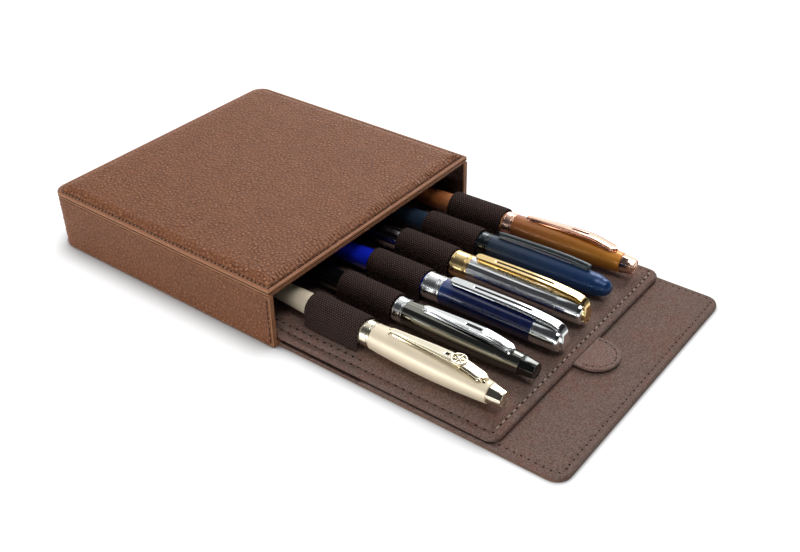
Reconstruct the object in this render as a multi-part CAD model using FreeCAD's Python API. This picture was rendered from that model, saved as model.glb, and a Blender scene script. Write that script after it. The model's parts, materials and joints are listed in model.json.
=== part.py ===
import FreeCAD, Part
import math
import os
from collections import namedtuple
from FreeCAD import Vector

# Pen case: a leather-covered sleeve, open at one end, with a padded lid panel.
# A tray with six elastic loops slides in the sleeve, and a flap hangs on its lower front edge.
# +Z is up, X runs across the sleeve, and the mouth faces -Y.
# The origin is the middle of the sleeve's underside.

# Driving sizes of the sleeve, in millimetres
SLEEVE_WIDTH = 158.0
SLEEVE_LENGTH = 155.0
WALL_HEIGHT = 29.4          # from the table to the seam under the lid panel
LID_EDGE = 3.6              # height of the lid panel's flat edge above that seam
LID_RIM = 4.0               # width of the flat rim round the padded field
LID_CROWN = 1.8             # rise of the padded field above the rim
LID_CROWN_RUN = 24.0        # plan distance over which the field rises
CROWN_STEPS = 8             # bands that the field's curved edge is lofted in
CORNER_RADIUS = 8.0         # upright back corners
SKIN = 0.9                  # outer leather
LINING = 0.5                # inner lining
WALL_BOARD = 1.4
BASE_BOARD = 1.6
LID_BOARD = 2.0

# Driving sizes of the tray and its pull tab
TRAY_LENGTH = 148.0
TRAY_OUT = 120.0            # how far it stands out of the mouth
TRAY_CORNER = 6.0
TRAY_SUEDE = 0.9
TRAY_BOARD = 2.4
TRAY_SIDE_GAP = 0.45
TRAY_UNDER_GAP = 0.3
SEAM_MARGIN = 4.8           # stitched edge outside a stiffening board
TAB_WIDTH = 24.0
TAB_STRAIGHT = 4.0
TAB_THICKNESS = 2.2
TAB_LIFT = 0.7              # above the tray's underside

# Driving sizes of the flap
FLAP_WIDTH = 152.0
SPINE_LENGTH = 47.0         # soft part between the sleeve and the stiff panel
PANEL_LENGTH = 104.5
PANEL_CORNER = 7.0
FLAP_LINING = 0.7
FLAP_BOARD = 1.4
HINGE_GAP = 0.3

# Driving sizes that all pens and loops share
PEN_EDGE = 18.25             # from the tray's side to the first pen's axis
PEN_SEAT_GAP = 0.3          # between a cap and the tray
PEN_WALL = 0.8              # metal or resin wall of caps and barrels
BARREL_LENGTH = 66.0        # from the cap's lip to the tail
TENON_LENGTH = 9.0          # front of the barrel inside the cap
TENON_GAP = 0.05
BAND_PROUD = 0.2
LOOP_START = 7.0            # from the mouth to the loops' rear edge
LOOP_LENGTH = 32.0
LOOP_ELASTIC = 0.9
LOOP_FIT = 0.3              # between a barrel and its loop
LIP_GAP = 0.5               # between a loop and the cap's band
CLIP_THICKNESS = 0.9
CLIP_STAND_OFF = 0.4        # under the clip's free end
CLIP_ARCH = 1.1             # extra room under the middle of a clip
CLIP_FOOT = 5.0
FACETS = 8
ROSETTE_RADIUS = 3.3
ROSETTE_RIM = 0.7
ROSETTE_SPOKES = 3
QUARTER = 90.0               # degrees in a quarter turn

# One row for each pen: radii and lengths in millimetres, turns in degrees.
# lip, middle and shoulder are cap radii; tip is the crown's end radius.
# mark is how far the middle of the clip's slot or openwork ring lies from the cap's lip.
Pen = namedtuple("Pen", "barrel tail lip middle shoulder tip cap band crown "
                        "clip clip_from clip_to clip_width slot mark clip_turn yaw")
PENS = [
    Pen(5.9, 4.4, 6.2, 6.7, 4.9, 3.7, 74.5, 5.0, 7.0, "rosette", 13.0, 65.5, 4.2, 0.0, 50.3, 18.0, -1.5),
    Pen(5.8, 4.4, 6.1, 6.2, 4.8, 3.9, 75.5, 5.5, 7.5, "leaf", 15.0, 64.0, 5.0, 9.0, 42.5, 4.0, -0.8),
    Pen(6.1, 5.0, 6.6, 6.6, 6.4, 6.0, 74.5, 10.0, 14.5, "wrap", 14.0, 74.5, 4.4, 31.0, 42.0, -2.0, 0.0),
    Pen(6.1, 5.0, 6.6, 6.6, 6.4, 6.0, 72.5, 10.0, 14.0, "wrap", 12.5, 72.5, 4.4, 31.0, 39.0, 0.0, 0.3),
    Pen(5.8, 4.6, 6.0, 6.2, 5.6, 4.4, 72.5, 6.0, 9.0, "rod", 8.5, 61.0, 3.2, 0.0, 0.0, 14.0, 1.5),
    Pen(5.9, 4.4, 6.1, 6.6, 4.9, 3.9, 73.0, 5.5, 7.0, "leaf", 12.0, 63.0, 4.6, 9.5, 42.0, 26.0, 1.8),
]

# Places worked out from the driving sizes
MOUTH_Y = -SLEEVE_LENGTH / 2
BACK_Y = SLEEVE_LENGTH / 2
BASE_TOP = SKIN + BASE_BOARD + LINING
LID_TOP = WALL_HEIGHT + LID_EDGE
WALL = SKIN + WALL_BOARD + LINING
INNER_HALF = SLEEVE_WIDTH / 2 - WALL
CEILING = WALL_HEIGHT - LINING
PANEL_HEIGHT = SKIN + FLAP_BOARD + FLAP_LINING
TRAY_HALF = INNER_HALF - TRAY_SIDE_GAP
TRAY_BOTTOM = max(BASE_TOP, PANEL_HEIGHT) + TRAY_UNDER_GAP
TRAY_TOP = TRAY_BOTTOM + 2 * TRAY_SUEDE + TRAY_BOARD
TRAY_FRONT = MOUTH_Y - TRAY_OUT
TRAY_REAR = TRAY_FRONT + TRAY_LENGTH
ROOT_Y = MOUTH_Y - HINGE_GAP
CREASE_Y = ROOT_Y - SPINE_LENGTH
PANEL_BACK = CREASE_Y - HINGE_GAP
PANEL_FRONT = PANEL_BACK - PANEL_LENGTH
LOOP_REAR = MOUTH_Y - LOOP_START
LOOP_FRONT = LOOP_REAR - LOOP_LENGTH
LIP_Y = LOOP_FRONT - LIP_GAP
LOOP_MIDDLE = (LOOP_REAR + LOOP_FRONT) / 2
PEN_PITCH = 2 * (TRAY_HALF - PEN_EDGE) / (len(PENS) - 1)
AXIS_Y = Vector(0, 1, 0)
AXIS_Z = Vector(0, 0, 1)


def closed_face(start, steps):
    """A face inside a closed outline: a step is a point, or a pair (arc through, arc end)."""
    edges = []
    here = start
    for step in steps:
        if isinstance(step, tuple):
            through, end = step
            edges.append(Part.Arc(here, through, end).toShape())
        else:
            end = step
            edges.append(Part.LineSegment(here, end).toShape())
        here = end
    if (here - start).Length > 1e-6:
        edges.append(Part.LineSegment(here, start).toShape())
    return Part.Face(Part.Wire(edges))


def rounded_wire(x_half, y_low, y_high, front_radius, back_radius, z):
    """A level outline, symmetric across X, with one radius at the front corners and one at the back."""
    corners = [(-1, y_low, front_radius), (1, y_low, front_radius),
               (1, y_high, back_radius), (-1, y_high, back_radius)]
    edges = []
    ends = []
    for quarter, (side, y, radius) in enumerate(corners, 2):
        angle = QUARTER * quarter
        centre = Vector(side * (x_half - radius), y + (radius if y == y_low else -radius), z)
        turn = [centre + Vector(math.cos(math.radians(a)), math.sin(math.radians(a)), 0) * radius
                for a in (angle, angle + QUARTER / 2, angle + QUARTER)]
        ends.append((turn[0], turn[2]))
        edges.append(Part.Arc(*turn).toShape() if radius > 0 else None)
    wire = []
    for i, arc in enumerate(edges):
        if arc:
            wire.append(arc)
        wire.append(Part.LineSegment(ends[i][1], ends[(i + 1) % 4][0]).toShape())
    return Part.Wire(wire)


def plate(x_half, y_low, y_high, z_low, z_high, front_radius=0.0, back_radius=0.0):
    """A level slab with rounded plan corners."""
    face = Part.Face(rounded_wire(x_half, y_low, y_high, front_radius, back_radius, z_low))
    return face.extrude(Vector(0, 0, z_high - z_low))


def sleeve_plate(inset, front_inset, z_low, z_high):
    """A slab of the sleeve's plan, drawn in at the sides and back by inset, and at the mouth."""
    return plate(SLEEVE_WIDTH / 2 - inset, MOUTH_Y + front_inset, BACK_Y - inset, z_low, z_high,
                 back_radius=CORNER_RADIUS - inset)


def sleeve_wall(outer, inner, z_low, z_high):
    """A U of wall round the sides and back, between two insets, behind the mouth trim."""
    block = sleeve_plate(outer, SKIN, z_low, z_high)
    return block.cut(sleeve_plate(inner, -SKIN, z_low, z_high))


def lid_crown(z):
    """The domed field of the lid panel, standing on level z inside the flat rim."""
    wires = []
    for i in range(CROWN_STEPS + 1):
        angle = math.radians(QUARTER * i / CROWN_STEPS)
        inset = LID_RIM + LID_CROWN_RUN * (1 - math.cos(angle))
        rise = LID_CROWN * math.sin(angle)
        radius = CORNER_RADIUS + inset / 2
        wires.append(rounded_wire(SLEEVE_WIDTH / 2 - inset, MOUTH_Y + inset, BACK_Y - inset,
                                  radius, radius, z + rise))
    return Part.makeLoft(wires, True, True)


def sleeve_parts():
    """The fixed sleeve: boards between leather and lining, and the padded lid panel."""
    parts = {}
    parts["base_leather"] = sleeve_plate(SKIN, SKIN, 0, SKIN)
    parts["base_board"] = sleeve_plate(SKIN + WALL_BOARD, SKIN, SKIN, SKIN + BASE_BOARD)
    parts["base_lining"] = sleeve_plate(SKIN + WALL_BOARD, SKIN, SKIN + BASE_BOARD, BASE_TOP)
    parts["wall_leather"] = sleeve_wall(0, SKIN, 0, WALL_HEIGHT)
    parts["wall_board"] = sleeve_wall(SKIN, SKIN + WALL_BOARD, SKIN, WALL_HEIGHT)
    parts["wall_lining"] = sleeve_wall(SKIN + WALL_BOARD, WALL, BASE_TOP, CEILING)
    parts["lid_lining"] = sleeve_plate(SKIN + WALL_BOARD, SKIN, CEILING, WALL_HEIGHT)
    board_top = WALL_HEIGHT + LID_BOARD
    parts["lid_board"] = sleeve_plate(SKIN, SKIN, WALL_HEIGHT, board_top)
    flat_pad = sleeve_plate(SKIN, SKIN, board_top, LID_TOP - SKIN)
    parts["lid_pad"] = flat_pad.fuse(lid_crown(LID_TOP - SKIN)).removeSplitter()
    cover = sleeve_plate(0, 0, WALL_HEIGHT, LID_TOP).fuse(lid_crown(LID_TOP))
    parts["lid_leather"] = cover.cut(parts["lid_board"]).cut(parts["lid_pad"]).removeSplitter()
    trim = plate(SLEEVE_WIDTH / 2, MOUTH_Y, MOUTH_Y + SKIN, 0, WALL_HEIGHT)
    window = plate(INNER_HALF, MOUTH_Y - SKIN, MOUTH_Y + 2 * SKIN, BASE_TOP, CEILING)
    parts["mouth_trim"] = trim.cut(window)
    return parts


def flap_parts():
    """The flap: a soft two-ply spine at the mouth's lower edge, then a panel stiffened by board."""
    half = FLAP_WIDTH / 2
    parts = {}
    parts["spine_leather"] = plate(half, CREASE_Y, ROOT_Y, 0, SKIN)
    parts["spine_lining"] = plate(half, CREASE_Y, ROOT_Y, SKIN, SKIN + FLAP_LINING)
    parts["panel_leather"] = plate(half, PANEL_FRONT, PANEL_BACK, 0, SKIN, front_radius=PANEL_CORNER)
    board_top = SKIN + FLAP_BOARD
    parts["panel_board"] = plate(half - SEAM_MARGIN, PANEL_FRONT + SEAM_MARGIN,
                                 PANEL_BACK - SEAM_MARGIN, SKIN, board_top,
                                 front_radius=PANEL_CORNER - SEAM_MARGIN)
    cover = plate(half, PANEL_FRONT, PANEL_BACK, SKIN, PANEL_HEIGHT, front_radius=PANEL_CORNER)
    parts["panel_lining"] = cover.cut(parts["panel_board"])
    return parts


def tray_slab(inset, z_low, z_high):
    """A slab of the tray's plan, drawn in all round by inset."""
    radius = TRAY_CORNER - inset
    return plate(TRAY_HALF - inset, TRAY_FRONT + inset, TRAY_REAR - inset, z_low, z_high,
                 radius, radius)


def tray_parts():
    """The sliding tray: a board between two suede sheets, and the half-round pull tab."""
    board_low = TRAY_BOTTOM + TRAY_SUEDE
    parts = {}
    parts["tray_underside"] = tray_slab(0, TRAY_BOTTOM, board_low)
    parts["tray_board"] = tray_slab(SEAM_MARGIN, board_low, board_low + TRAY_BOARD)
    parts["tray_face"] = tray_slab(0, board_low, TRAY_TOP).cut(parts["tray_board"])
    half = TAB_WIDTH / 2
    root = Vector(-half, TRAY_FRONT, TRAY_BOTTOM + TAB_LIFT)
    side = Vector(0, -TAB_STRAIGHT, 0)
    far = root + Vector(half, -TAB_STRAIGHT - half, 0)
    other = root + Vector(TAB_WIDTH, 0, 0)
    tab = closed_face(root, [root + side, (far, other + side), other])
    parts["pull_tab"] = tab.extrude(Vector(0, 0, TAB_THICKNESS))
    return parts


def pen_height(pen):
    """Height of a pen's axis above the tray's face."""
    return PEN_SEAT_GAP + max(pen.middle, pen.lip + BAND_PROUD)


def loop_shape(pen):
    """An elastic loop: an upright arch over the barrel, its feet on the tray's face."""
    inner = pen.barrel + LOOP_FIT
    outer = inner + LOOP_ELASTIC
    height = pen_height(pen)
    y = LOOP_REAR

    def at(x, z):
        return Vector(x, y, z)

    arch = closed_face(at(-outer, 0), [
        at(-outer, height), (at(0, height + outer), at(outer, height)), at(outer, 0),
        at(inner, 0), at(inner, height), (at(0, height + inner), at(-inner, height)), at(-inner, 0)])
    return arch.extrude(Vector(0, -LOOP_LENGTH, 0))


def turned(start, steps):
    """A solid of revolution about the pen's axis; points are (distance from the lip, radius)."""
    def at(point):
        return Vector(0, -point[0], point[1])

    placed = [(at(s[0]), at(s[1])) if isinstance(s[0], tuple) else at(s) for s in steps]
    return closed_face(at(start), placed).revolve(Vector(0, 0, 0), AXIS_Y, 4 * QUARTER)


def barrel_shape(pen):
    """A hollow barrel with a rounded tail, and a tenon that the cap slides over."""
    tail = -BARREL_LENGTH
    nose = tail + pen.tail
    middle = nose / 2
    waist = (pen.barrel + pen.tail) / 2 + (pen.barrel - pen.tail) / 4
    tenon = pen.lip - PEN_WALL - TENON_GAP
    bore = tenon - PEN_WALL
    root = math.sqrt(0.5)
    end_inner = nose - 2 * PEN_WALL
    return turned((tail, 0), [
        ((nose - pen.tail * root, pen.tail * root), (nose, pen.tail)),
        ((middle, waist), (0, pen.barrel)),
        (0, tenon), (TENON_LENGTH, tenon), (TENON_LENGTH, bore), (0, bore),
        ((middle, waist - PEN_WALL - 0.4), (end_inner + 2 * PEN_WALL, pen.tail - 2 * PEN_WALL)),
        (end_inner, 0)])


def cap_outline(pen):
    """The cap's outer curve: start, a point on the way, and end, as (distance, radius)."""
    start = (pen.band, pen.lip)
    end = (pen.cap - pen.crown, pen.shoulder)
    return start, ((start[0] + end[0]) / 2, pen.middle), end


def cap_shape(pen):
    """The cap: a tube closed where the crown sits."""
    start, through, end = cap_outline(pen)
    wall = PEN_WALL
    floor = end[0] - 2 * wall
    return turned(start, [
        (through, end), (end[0], 0), (floor, 0), (floor, end[1] - 2 * wall),
        ((through[0], through[1] - wall), (start[0], start[1] - wall))])


def filled_cap(pen):
    """The cap, its band and its crown as one solid, which a clip is fitted to."""
    start, through, end = cap_outline(pen)
    return turned((0, 0), [(0, pen.lip), start, (through, end), (pen.cap, pen.tip), (pen.cap, 0)])


def band_shape(pen):
    """The ring at the cap's lip, a little proud, with a groove round its middle."""
    proud = pen.lip + BAND_PROUD
    groove = pen.band / 8
    middle = pen.band / 2
    bore = pen.lip - PEN_WALL
    return turned((0, bore), [
        (0, pen.lip), (BAND_PROUD, proud), (middle - groove, proud), (middle, pen.lip),
        (middle + groove, proud), (pen.band - BAND_PROUD, proud), (pen.band, pen.lip),
        (pen.band, bore)])


def crown_shape(pen):
    """The end of the cap: faceted and tapered, a plain drum, or a dome."""
    base = pen.cap - pen.crown
    if pen.clip == "rod":
        root = math.sqrt(0.5)
        dome = pen.cap - pen.tip
        through = ((base + dome) / 2, pen.shoulder / 2 + pen.tip / 2 + BAND_PROUD)
        return turned((base, 0), [(base, pen.shoulder), (through, (dome, pen.tip)),
                                  ((dome + pen.tip * root, pen.tip * root), (pen.cap, 0))])
    crown = turned((base, 0), [(base, pen.shoulder), (pen.cap - PEN_WALL, pen.tip + PEN_WALL / 4),
                               (pen.cap, pen.tip - PEN_WALL), (pen.cap, 0)])
    if pen.clip == "wrap":
        return crown
    flats = []
    for end, radius in ((base, pen.shoulder), (pen.cap, pen.tip)):
        corners = [Vector(radius * math.sin(math.radians(a)), -end, radius * math.cos(math.radians(a)))
                   for a in (4 * QUARTER / FACETS * (i + 0.5) for i in range(FACETS))]
        flats.append(Part.makePolygon(corners + corners[:1]))
    return crown.common(Part.makeLoft(flats, True, True))


def clip_side(pen):
    """The clip seen from the side: an arched bar that ends in a foot on the cap or over its end."""
    low = pen.lip + CLIP_STAND_OFF
    middle = ((pen.clip_from + pen.clip_to) / 2, pen.middle + CLIP_STAND_OFF + CLIP_ARCH)
    wraps = pen.clip == "wrap"
    far = pen.cap + CLIP_THICKNESS if wraps else pen.clip_to
    heel = pen.cap if wraps else pen.clip_to - CLIP_FOOT
    top = (pen.tip if wraps else pen.shoulder) + CLIP_STAND_OFF
    foot = -pen.tip / 3 if wraps else pen.shoulder - 1
    thick = CLIP_THICKNESS

    def at(point):
        return Vector(0, -point[0], point[1])

    return closed_face(at((pen.clip_from, low)), [
        (at(middle), at((heel, top))), at((heel, foot)), at((far, foot)), at((far, top)),
        at((heel, top + thick)), (at((middle[0], middle[1] + thick)), at((pen.clip_from, low + thick)))])


def clip_plan(pen):
    """The clip seen from above: a leaf, or a straight bar with rounded ends."""
    wide = pen.clip_width / 2
    slim = wide * (0.35 if pen.clip in ("leaf", "rosette") else 0.8)
    belly = pen.clip_from + 0.6 * (pen.clip_to - pen.clip_from)
    far = pen.cap + 2 * CLIP_THICKNESS if pen.clip == "wrap" else pen.clip_to
    shoulder = far - wide * 0.8

    def at(s, x):
        return Vector(x, -s, 0)

    return closed_face(at(pen.clip_from + slim, -slim), [
        (at(pen.clip_from, 0), at(pen.clip_from + slim, slim)),
        (at(belly, wide), at(shoulder, wide * 0.8)),
        (at(far, 0), at(shoulder, -wide * 0.8)),
        (at(belly, -wide), at(pen.clip_from + slim, -slim))])


def rosette_shape(pen):
    """The openwork ring on a clip: a rim with crossing spokes."""
    place = Vector(0, -pen.mark, pen.middle + CLIP_ARCH)
    height = CLIP_THICKNESS + CLIP_STAND_OFF
    rim = Part.makeCylinder(ROSETTE_RADIUS, height, place)
    rim = rim.cut(Part.makeCylinder(ROSETTE_RADIUS - ROSETTE_RIM, height, place))
    for i in range(ROSETTE_SPOKES):
        spoke = Part.makeBox(2 * ROSETTE_RADIUS - ROSETTE_RIM, ROSETTE_RIM, height,
                             Vector(ROSETTE_RIM / 2 - ROSETTE_RADIUS, -ROSETTE_RIM / 2, 0))
        spoke.rotate(Vector(0, 0, 0), AXIS_Z, 2 * QUARTER / ROSETTE_SPOKES * i)
        spoke.translate(place)
        rim = rim.fuse(spoke)
    return rim.removeSplitter()


def clip_shape(pen):
    """The clip on top of the cap, cut to sit on it, with its slot or openwork ring."""
    half = pen.clip_width / 2
    side = clip_side(pen)
    side.translate(Vector(-half, 0, 0))
    bar = side.extrude(Vector(pen.clip_width, 0, 0))
    height = 3 * pen.middle
    plan = clip_plan(pen)
    plan.translate(Vector(0, 0, -pen.middle))
    clip = bar.common(plan.extrude(Vector(0, 0, height)))
    if pen.slot:
        narrow = CLIP_THICKNESS * 0.6
        slot = Part.makeBox(narrow, pen.slot, height, Vector(-narrow / 2, -pen.mark - pen.slot / 2, pen.tip))
        clip = clip.cut(slot)
    if pen.clip == "rosette":
        hole = Part.makeCylinder(ROSETTE_RADIUS - ROSETTE_RIM, height,
                                 Vector(0, -pen.mark, 0))
        clip = clip.cut(hole).fuse(rosette_shape(pen))
    return clip.cut(filled_cap(pen)).removeSplitter()


def pen_parts(number, pen):
    """One pen in its loop, its clip turned about its axis and the pen turned to its yaw."""
    shapes = {"barrel": barrel_shape(pen), "band": band_shape(pen), "cap": cap_shape(pen),
              "crown": crown_shape(pen), "clip": clip_shape(pen)}
    parts = {}
    for name, shape in shapes.items():
        shape.rotate(Vector(0, 0, 0), AXIS_Y, pen.clip_turn)
        parts["pen_%d_%s" % (number, name)] = place_in_loop(shape, number, pen, LIP_Y, pen_height(pen))
    return parts


def place_in_loop(shape, number, pen, y, height):
    """Move a shape to its place in the row and turn it about the middle of its loop."""
    x = (number - (len(PENS) + 1) / 2) * PEN_PITCH
    shape.translate(Vector(x, y, TRAY_TOP + height))
    shape.rotate(Vector(x, LOOP_MIDDLE, 0), AXIS_Z, pen.yaw)
    return shape


os.makedirs("parts", exist_ok=True)
pieces = {}
pieces.update(sleeve_parts())
pieces.update(flap_parts())
pieces.update(tray_parts())
for number, pen in enumerate(PENS, 1):
    pieces["loop_%d" % number] = place_in_loop(loop_shape(pen), number, pen, 0, 0)
    pieces.update(pen_parts(number, pen))
for name, shape in pieces.items():
    shape.exportStep("parts/%s.step" % name)
    print(name, len(shape.Solids), shape.isValid(), round(shape.Volume, 1))
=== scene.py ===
from collections import namedtuple
import json
import math

import bmesh
import bpy
from mathutils import Matrix, Vector, noise


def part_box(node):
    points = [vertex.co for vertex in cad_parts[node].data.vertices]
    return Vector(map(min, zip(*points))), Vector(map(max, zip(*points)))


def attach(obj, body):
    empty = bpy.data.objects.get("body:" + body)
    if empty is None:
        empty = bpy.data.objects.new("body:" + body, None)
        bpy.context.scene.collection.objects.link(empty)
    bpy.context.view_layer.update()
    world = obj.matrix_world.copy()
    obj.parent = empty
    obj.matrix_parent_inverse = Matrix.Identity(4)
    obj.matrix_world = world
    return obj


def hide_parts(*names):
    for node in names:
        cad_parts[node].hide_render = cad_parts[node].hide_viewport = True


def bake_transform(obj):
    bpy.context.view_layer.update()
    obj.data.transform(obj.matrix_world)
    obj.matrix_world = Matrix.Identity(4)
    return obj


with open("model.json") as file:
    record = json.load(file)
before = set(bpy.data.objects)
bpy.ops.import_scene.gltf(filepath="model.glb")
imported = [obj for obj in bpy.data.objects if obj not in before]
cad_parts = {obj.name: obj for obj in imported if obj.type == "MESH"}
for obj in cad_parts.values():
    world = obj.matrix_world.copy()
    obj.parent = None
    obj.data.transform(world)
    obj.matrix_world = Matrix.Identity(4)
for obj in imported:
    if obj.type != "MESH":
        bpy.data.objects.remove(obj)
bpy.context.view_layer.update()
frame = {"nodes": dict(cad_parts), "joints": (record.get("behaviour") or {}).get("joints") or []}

# Pieces are modelled in millimetres and brought to metres when they are finished.
MM = 0.001
SEED = 7                    # of the slow unevenness and the gathers
TOUCH = 0.01                # closer than this, a point counts as lying on a face

# A seam's pitch, its thread (length, width, height, how far it stands proud) and its hole (length, width)
Stitch = namedtuple("Stitch", "pitch thread hole")
LID_STITCH = Stitch(2.6, (2.0, 1.0, 1.0, 0.2), (0.9, 1.1))
LID_MOUTH_STITCH = Stitch(2.6, (1.6, 0.6, 0.5, 0.0), (1.3, 0.8))
WALL_STITCH = Stitch(3.1, (1.7, 0.4, 0.3, -0.04), (1.5, 0.75))
TRAY_FRONT_STITCH = Stitch(4.2, (2.5, 0.7, 0.7, 0.06), (1.7, 1.0))
TRAY_SIDE_STITCH = Stitch(4.2, (2.3, 0.5, 0.4, -0.05), (1.6, 1.0))
TAB_STITCH = Stitch(3.0, (1.7, 0.45, 0.4, -0.03), (1.1, 0.8))
FLAP_STITCH = Stitch(3.5, (1.9, 0.45, 0.36, -0.05), (1.4, 0.9))
HOLE_DEPTH = 0.3

# The hide's raised pebbles
PEBBLE_SIZE = 2.0
PEBBLE_RISE = 0.42
PEBBLE_CROWN = 2.8          # above 1 the pebbles have flat tops

# Lid cushion, from its edge inwards
LID_GRID = (340, 330)
LID_CROWDING = 0.25         # how much closer the grid lies at the edges
MOUTH_CORNER = 1.0          # plan radius of the lid's corners at the mouth
BACK_CORNER = 8.0
LIP_ROUND = 0.8             # rounding of the lid's upper edge
LID_RIM = 1.8               # smooth turned edge outside the stitch line
LID_SEAM = 2.6              # from the edge to the stitch line
LID_GROOVE = 0.55
LID_GROOVE_HALF = 1.0
QUICK_SWELL = 2.4           # rise of the padding just inside the seam
QUICK_START = 0.2           # how far inside the seam it starts
QUICK_RUN = 5.5
SLOW_SWELL = 0.3            # further rise towards the middle
SLOW_START = 7.0
SLOW_RUN = 24.0
LID_UNEVEN = 0.1
LID_UNEVEN_SIZE = 26.0
LID_UNEVEN_START = 12.0

# Gathers along the lid's seam
PUCKER = 0.34
PUCKER_PITCH = 2.2
PUCKER_START = 1.5          # full height this far inside the seam
FRONT_REACH = 2.5           # how far they run on at the mouth
SIDE_REACH = 1.2
SIDE_PUCKER = 0.25          # their share on the sides and at the back
WANDER = 5.0                # how far their rhythm drifts, in radians
WANDER_SIZE = 7.0
WANDER_ROW = 3              # each noise is read along a row of its own
STRENGTH_SIZE = 11.0
STRENGTH_ROW = 8
STRENGTH_BASE = 0.7
STRENGTH_SPREAD = 0.9
RIM_PUCKER = 0.03           # faint gathers outside the seam
RIM_PUCKER_AT = 1.7
RIM_PUCKER_HALF = 1.2

# The lid's turned edges: a bead, a dark line and a second bead, as (inset, height) over the line or the seam
PIPING_GROOVE = 0.75        # depth of the dark lines
LINE_DROP = 0.55            # from the lip down to the middle of the upper line
UPPER_BEAD = [(0.0, 0.36), (0.12, 0.26), (PIPING_GROOVE, 0.2),
              (PIPING_GROOVE, -0.2), (0.12, -0.26), (0.0, -0.4)]
SEAM_RISE = 0.35            # from the lid's underside up to the lower line
LOWER_BEAD = [(0.0, 0.12), (0.2, 0.0), (PIPING_GROOVE, -0.05)]
SEAM_TUCK = (1.2, 0.1)      # inset and height of the underside's edge

# Wall, its section as (inset from the outer face, height)
WALL_FOOT = [(0.9, 0.02), (0.85, 0.02), (0.42, 0.14), (0.12, 0.5), (0.0, 1.1)]
WALL_ROW = 2.25
WALL_ROWS = 12
WALL_LIP = [(0.14, 28.6), (0.55, 28.9)]
WALL_TUCK = 0.3             # the wall ends this far below the lid
SIDE_STEPS = 66
CORNER_STEPS = 8
FACE_CUTS = 3               # finer division of the face that carries pebbles
FACE_START = 0.9
GRAIN_LOW = 1.0             # the pebbles lie between these heights and behind the mouth's rounding
GRAIN_HIGH = 28.0
GRAIN_FRONT = 1.0
WALL_UNEVEN = 0.14
WALL_UNEVEN_SIZE = 22.0
WALL_UNEVEN_START = 5.0
WALL_MIDDLE = 14.5
WALL_FLAT = 13.0            # half the height of the face that may sink a little
MOUTH_ROUND = 0.42
MOUTH_SEAM = 2.0            # from the mouth back to its stitches
FIRST_STITCH = 2.4          # height of the lowest of them

# Turned edge inside the mouth
EDGE_INSET = 0.95
EDGE_LAP = 0.45             # how far it lies over the lining
EDGE_GAP = 0.05
EDGE_SET_BACK = 0.03
EDGE_DEEP = 0.85
EDGE_ROUND = 0.4

# Tray
TRAY_GRID = (190, 190)
TRAY_SEAM = 4.0
TRAY_CORNER = 6.0
TRAY_ROUND = 1.5
TRAY_GROOVE = 0.38
TRAY_GROOVE_HALF = 1.2
MARGIN_DROP = 1.3           # the stitched margin lies lower than the boarded field
FIELD_START = 0.4           # the field starts to rise this far outside the seam
FIELD_RUN = 3.5
MARGIN_WAVE = 0.04          # the margin is drawn in at each stitch
MARGIN_WAVE_IN = 1.3
MARGIN_WAVE_HALF = 1.4
TRAY_UNEVEN = 0.12
TRAY_UNEVEN_SIZE = 18.0
TRAY_EDGE = [(0.0, 0.3), (0.0, 0.12), (0.12, 0.02)]
SHEET_INSET = 0.2           # the underside's suede is cut this much smaller
ANCHOR_IN = 3.1             # the loops are anchored by a second row, this far inside the first
ANCHOR_SHIFT = 1.5
ANCHOR_RUN = 46.0           # how far in front of the mouth that row starts

# Pull tab
TAB_GRID = (48, 40)
TAB_SEAM = 2.2
TAB_CREST = 0.7             # room above the tab's face inside its CAD box
TAB_ROUND = 0.7
TAB_EDGE = [(0.0, 0.5), (0.1, 0.2), (0.4, 0.02)]
TAB_TAIL = 40.0             # the tab's plan runs on under the tray

# Flap
FLAP_SEAM = 3.2
FLAP_CORNER = 7.0
FLAP_ROUND = 0.8
FLAP_TAIL = 60.0            # the flap's plan runs on behind the mouth
CREASE_RUN = 3.0
CREASE_DEEP = 0.35
CREASE_HALF = 1.8
PLY_GAP = 0.05              # the lining lies this far over the leather
FLAP_FLOOR = 0.03           # height of the leather's underside

# Pens and loops
WALL = 0.8
TURN_STEPS = 72
ELASTIC = 0.9
LOOP_ARC = 40               # divisions of the loop's half circle
LOOP_ROWS = 30
LOOP_LEG = 4                # divisions of its straight sides
LOOP_FOOT = 2.4             # the legs start this far above the foot
INLAY_DEPTH = 0.3           # a clip's inlay lies this far below its face
RING_RADIUS = 3.4           # middle line of the openwork ring on pen 1
RING_ROD = 0.5
RING_SPOKES = 6
FACETS = 8                  # sides of a tapered crown

# Clips: shares of the half width at which the columns stand, from the middle out
CLIP_COLUMNS = (0.0, 0.13, 0.3, 0.46, 0.6, 0.76, 0.81, 0.87, 0.93, 1.0)
ROD_COLUMNS = [math.sin(math.pi / 2 * i / 9) for i in range(10)]
CLIP_ROWS = 84
CLIP_LINES = ((0.79, 0.89),)                # where a fine line runs inside the clip's outline
LINE_DEPTH = 0.3
TIP_HALF = 0.5                              # half the width of a clip's rounded tip
END_PLATE = 10.0                            # length of a wrapped clip's plate over the cap's end
END_SPREAD = 0.45                           # how much wider the plate is than the clip
END_RISE = 1.4                              # the plate is widest before its middle
END_ROUND = 0.3                             # share of the plate that its rounded end takes
SLOT_SHARE = 0.3                            # a clip's slot, as a share of its width
SLOT_PLAY = 0.05                            # the slot is cut this share narrower than its inlay
INLAY_THICK = 0.25

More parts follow.
